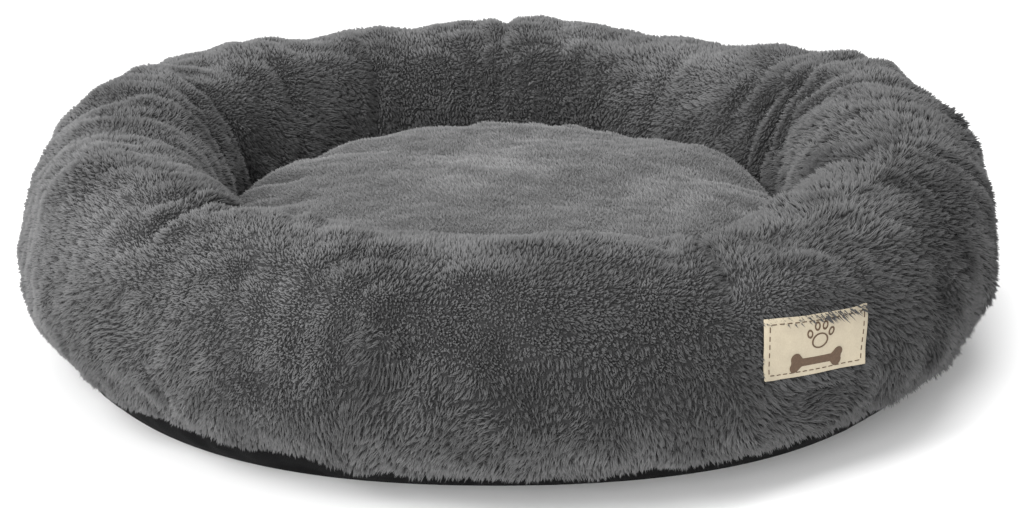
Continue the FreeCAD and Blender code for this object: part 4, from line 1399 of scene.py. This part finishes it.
# ------------------------------------------------------------------ the zip
class PETBED_OT_zip(bpy.types.Operator):
    """Finish the zip: woven tapes, nylon coil, painted slider and pull"""

    bl_idname = "petbed.zip"
    bl_label = "Zip"

    def execute(self, context):
        tape = weave_material("zip_tape", (0.02, 0.02, 0.022), 0.0006, 0.75, 0.00015)
        metal = painted_metal_material("zip_paint", (0.012, 0.012, 0.013))
        for node, material in (("zip_upper_tape", tape), ("zip_lower_tape", tape),
                               ("zip_stops", metal), ("zip_slider", metal), ("zip_pull", metal)):
            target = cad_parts[node]
            target.data.materials.clear()
            target.data.materials.append(material)
        self.coil()
        return {"FINISHED"}

    def coil(self):
        """Nylon turns along both edges of the tapes."""
        middle = (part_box("zip_upper_tape")[0][2] + TAPE_BOX[1][2]) / 2.0
        sweep = math.radians(76.0)
        reach = BORDER_BOX[1][0] + 0.0033
        start = math.pi / 2.0 - sweep / 2.0
        count = int(sweep * reach / 0.0013)
        rings = []
        for side in (-1.0, 1.0):
            for step in range(count):
                azimuth = start + sweep * (step + 0.5) / count
                turns = np.linspace(0.0, FULL_TURN, 6, endpoint=False)
                out = np.array([math.cos(azimuth), math.sin(azimuth), 0.0])
                along = np.array([-out[1], out[0], 0.0])
                for end in (-1.0, 1.0):
                    rings.append(out * (reach + 0.0001) + along * end * 0.0004
                                 + np.array([0, 0, middle + side * 0.0013])
                                 + np.outer(np.cos(turns) * 0.00025, out)
                                 + np.outer(np.sin(turns) * 0.0008, (0, 0, 1)))
        points = np.concatenate(rings)
        faces, caps = [], []
        for turn in range(len(rings) // 2):
            low = np.arange(6) + turn * 12
            high = low + 6
            faces.append(np.stack([low, np.roll(low, -1), np.roll(high, -1), high], -1))
            caps += [low[::-1], high]
        coil = mesh_object("zip_coil_turns", points, [np.concatenate(faces), np.array(caps)])
        edit_all(coil, face_outwards)
        dress(coil, nylon_material("zip_nylon"), "cushion")


# ------------------------------------------------------------------ the stage
class PETBED_OT_stage(bpy.types.Operator):
    """Make the pale floor, the soft lights and the camera"""

    bl_idname = "petbed.stage"
    bl_label = "Stage"

    def execute(self, context):
        stage = context.scene.petbed_stage
        deselect()
        bpy.ops.mesh.primitive_plane_add(size=14.0, location=(0, 0, -0.0004))
        floor = bpy.context.object
        floor.name = floor.data.name = "studio_floor"
        floor.data.materials.append(floor_material(stage.floor_tone))
        self.softbox("key", (-1.7, -1.3, 2.1), 1.8, 60.0)
        self.softbox("top", (0.0, 0.2, 2.7), 2.6, 68.0)
        self.softbox("front", (-0.9, -2.8, 0.9), 2.2, 71.0)
        world = bpy.data.worlds.new("studio_air")
        world.use_nodes = True
        air = world.node_tree.nodes["Background"]
        air.inputs["Color"].default_value = (1.0, 1.0, 1.0, 1.0)
        air.inputs["Strength"].default_value = 0.66
        context.scene.world = world
        context.scene.view_settings.view_transform = "Standard"
        camera = bpy.data.objects.new("camera", bpy.data.cameras.new("camera"))
        context.scene.collection.objects.link(camera)
        camera.data.lens = stage.lens
        camera.data.clip_end = 50.0
        aim = Vector((0.0035, 0.0, stage.aim_height))
        back = Vector((0.0, -math.cos(stage.elevation), math.sin(stage.elevation)))
        camera.location = aim + back * stage.distance
        camera.rotation_euler = (-back).to_track_quat("-Z", "Y").to_euler()
        context.scene.camera = camera
        return {"FINISHED"}

    def softbox(self, name, place, size, power):
        """Round soft light that points at the middle of the bed."""
        lamp = bpy.data.lights.new(name, "AREA")
        lamp.shape, lamp.size, lamp.energy = "DISK", size, power
        light = bpy.data.objects.new(name, lamp)
        bpy.context.scene.collection.objects.link(light)
        light.location = place
        light.rotation_euler = (-Vector(place)).to_track_quat("-Z", "Y").to_euler()


class PETBED_PT_panel(bpy.types.Panel):
    """Sidebar panel that lists the bed's pieces"""

    bl_idname = "PETBED_PT_panel"
    bl_label = "Pet Bed"
    bl_space_type = "VIEW_3D"
    bl_region_type = "UI"
    bl_category = "Pet Bed"

    def draw(self, context):
        for group in (context.scene.petbed_plush, context.scene.petbed_trim,
                      context.scene.petbed_stage):
            box = self.layout.box()
            for name in group.bl_rna.properties.keys():
                if name not in ("rna_type", "name"):
                    box.prop(group, name)
        for operator in OPERATORS:
            self.layout.operator(operator.bl_idname)


OPERATORS = (PETBED_OT_ring_cover, PETBED_OT_base, PETBED_OT_label, PETBED_OT_cushion,
             PETBED_OT_zip, PETBED_OT_stage)
CLASSES = (BedPlush, BedTrim, BedStage) + OPERATORS + (PETBED_PT_panel,)


def register():
    for item in CLASSES:
        bpy.utils.register_class(item)
    bpy.types.Scene.petbed_plush = bpy.props.PointerProperty(type=BedPlush)
    bpy.types.Scene.petbed_trim = bpy.props.PointerProperty(type=BedTrim)
    bpy.types.Scene.petbed_stage = bpy.props.PointerProperty(type=BedStage)


def unregister():
    del bpy.types.Scene.petbed_stage
    del bpy.types.Scene.petbed_trim
    del bpy.types.Scene.petbed_plush
    for item in reversed(CLASSES):
        bpy.utils.unregister_class(item)


def main():
    """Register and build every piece."""
    register()
    bpy.ops.petbed.ring_cover()
    bpy.ops.petbed.base()
    bpy.ops.petbed.label()
    bpy.ops.petbed.cushion()
    bpy.ops.petbed.zip()
    bpy.ops.petbed.stage()


if __name__ == "__main__":
    main()
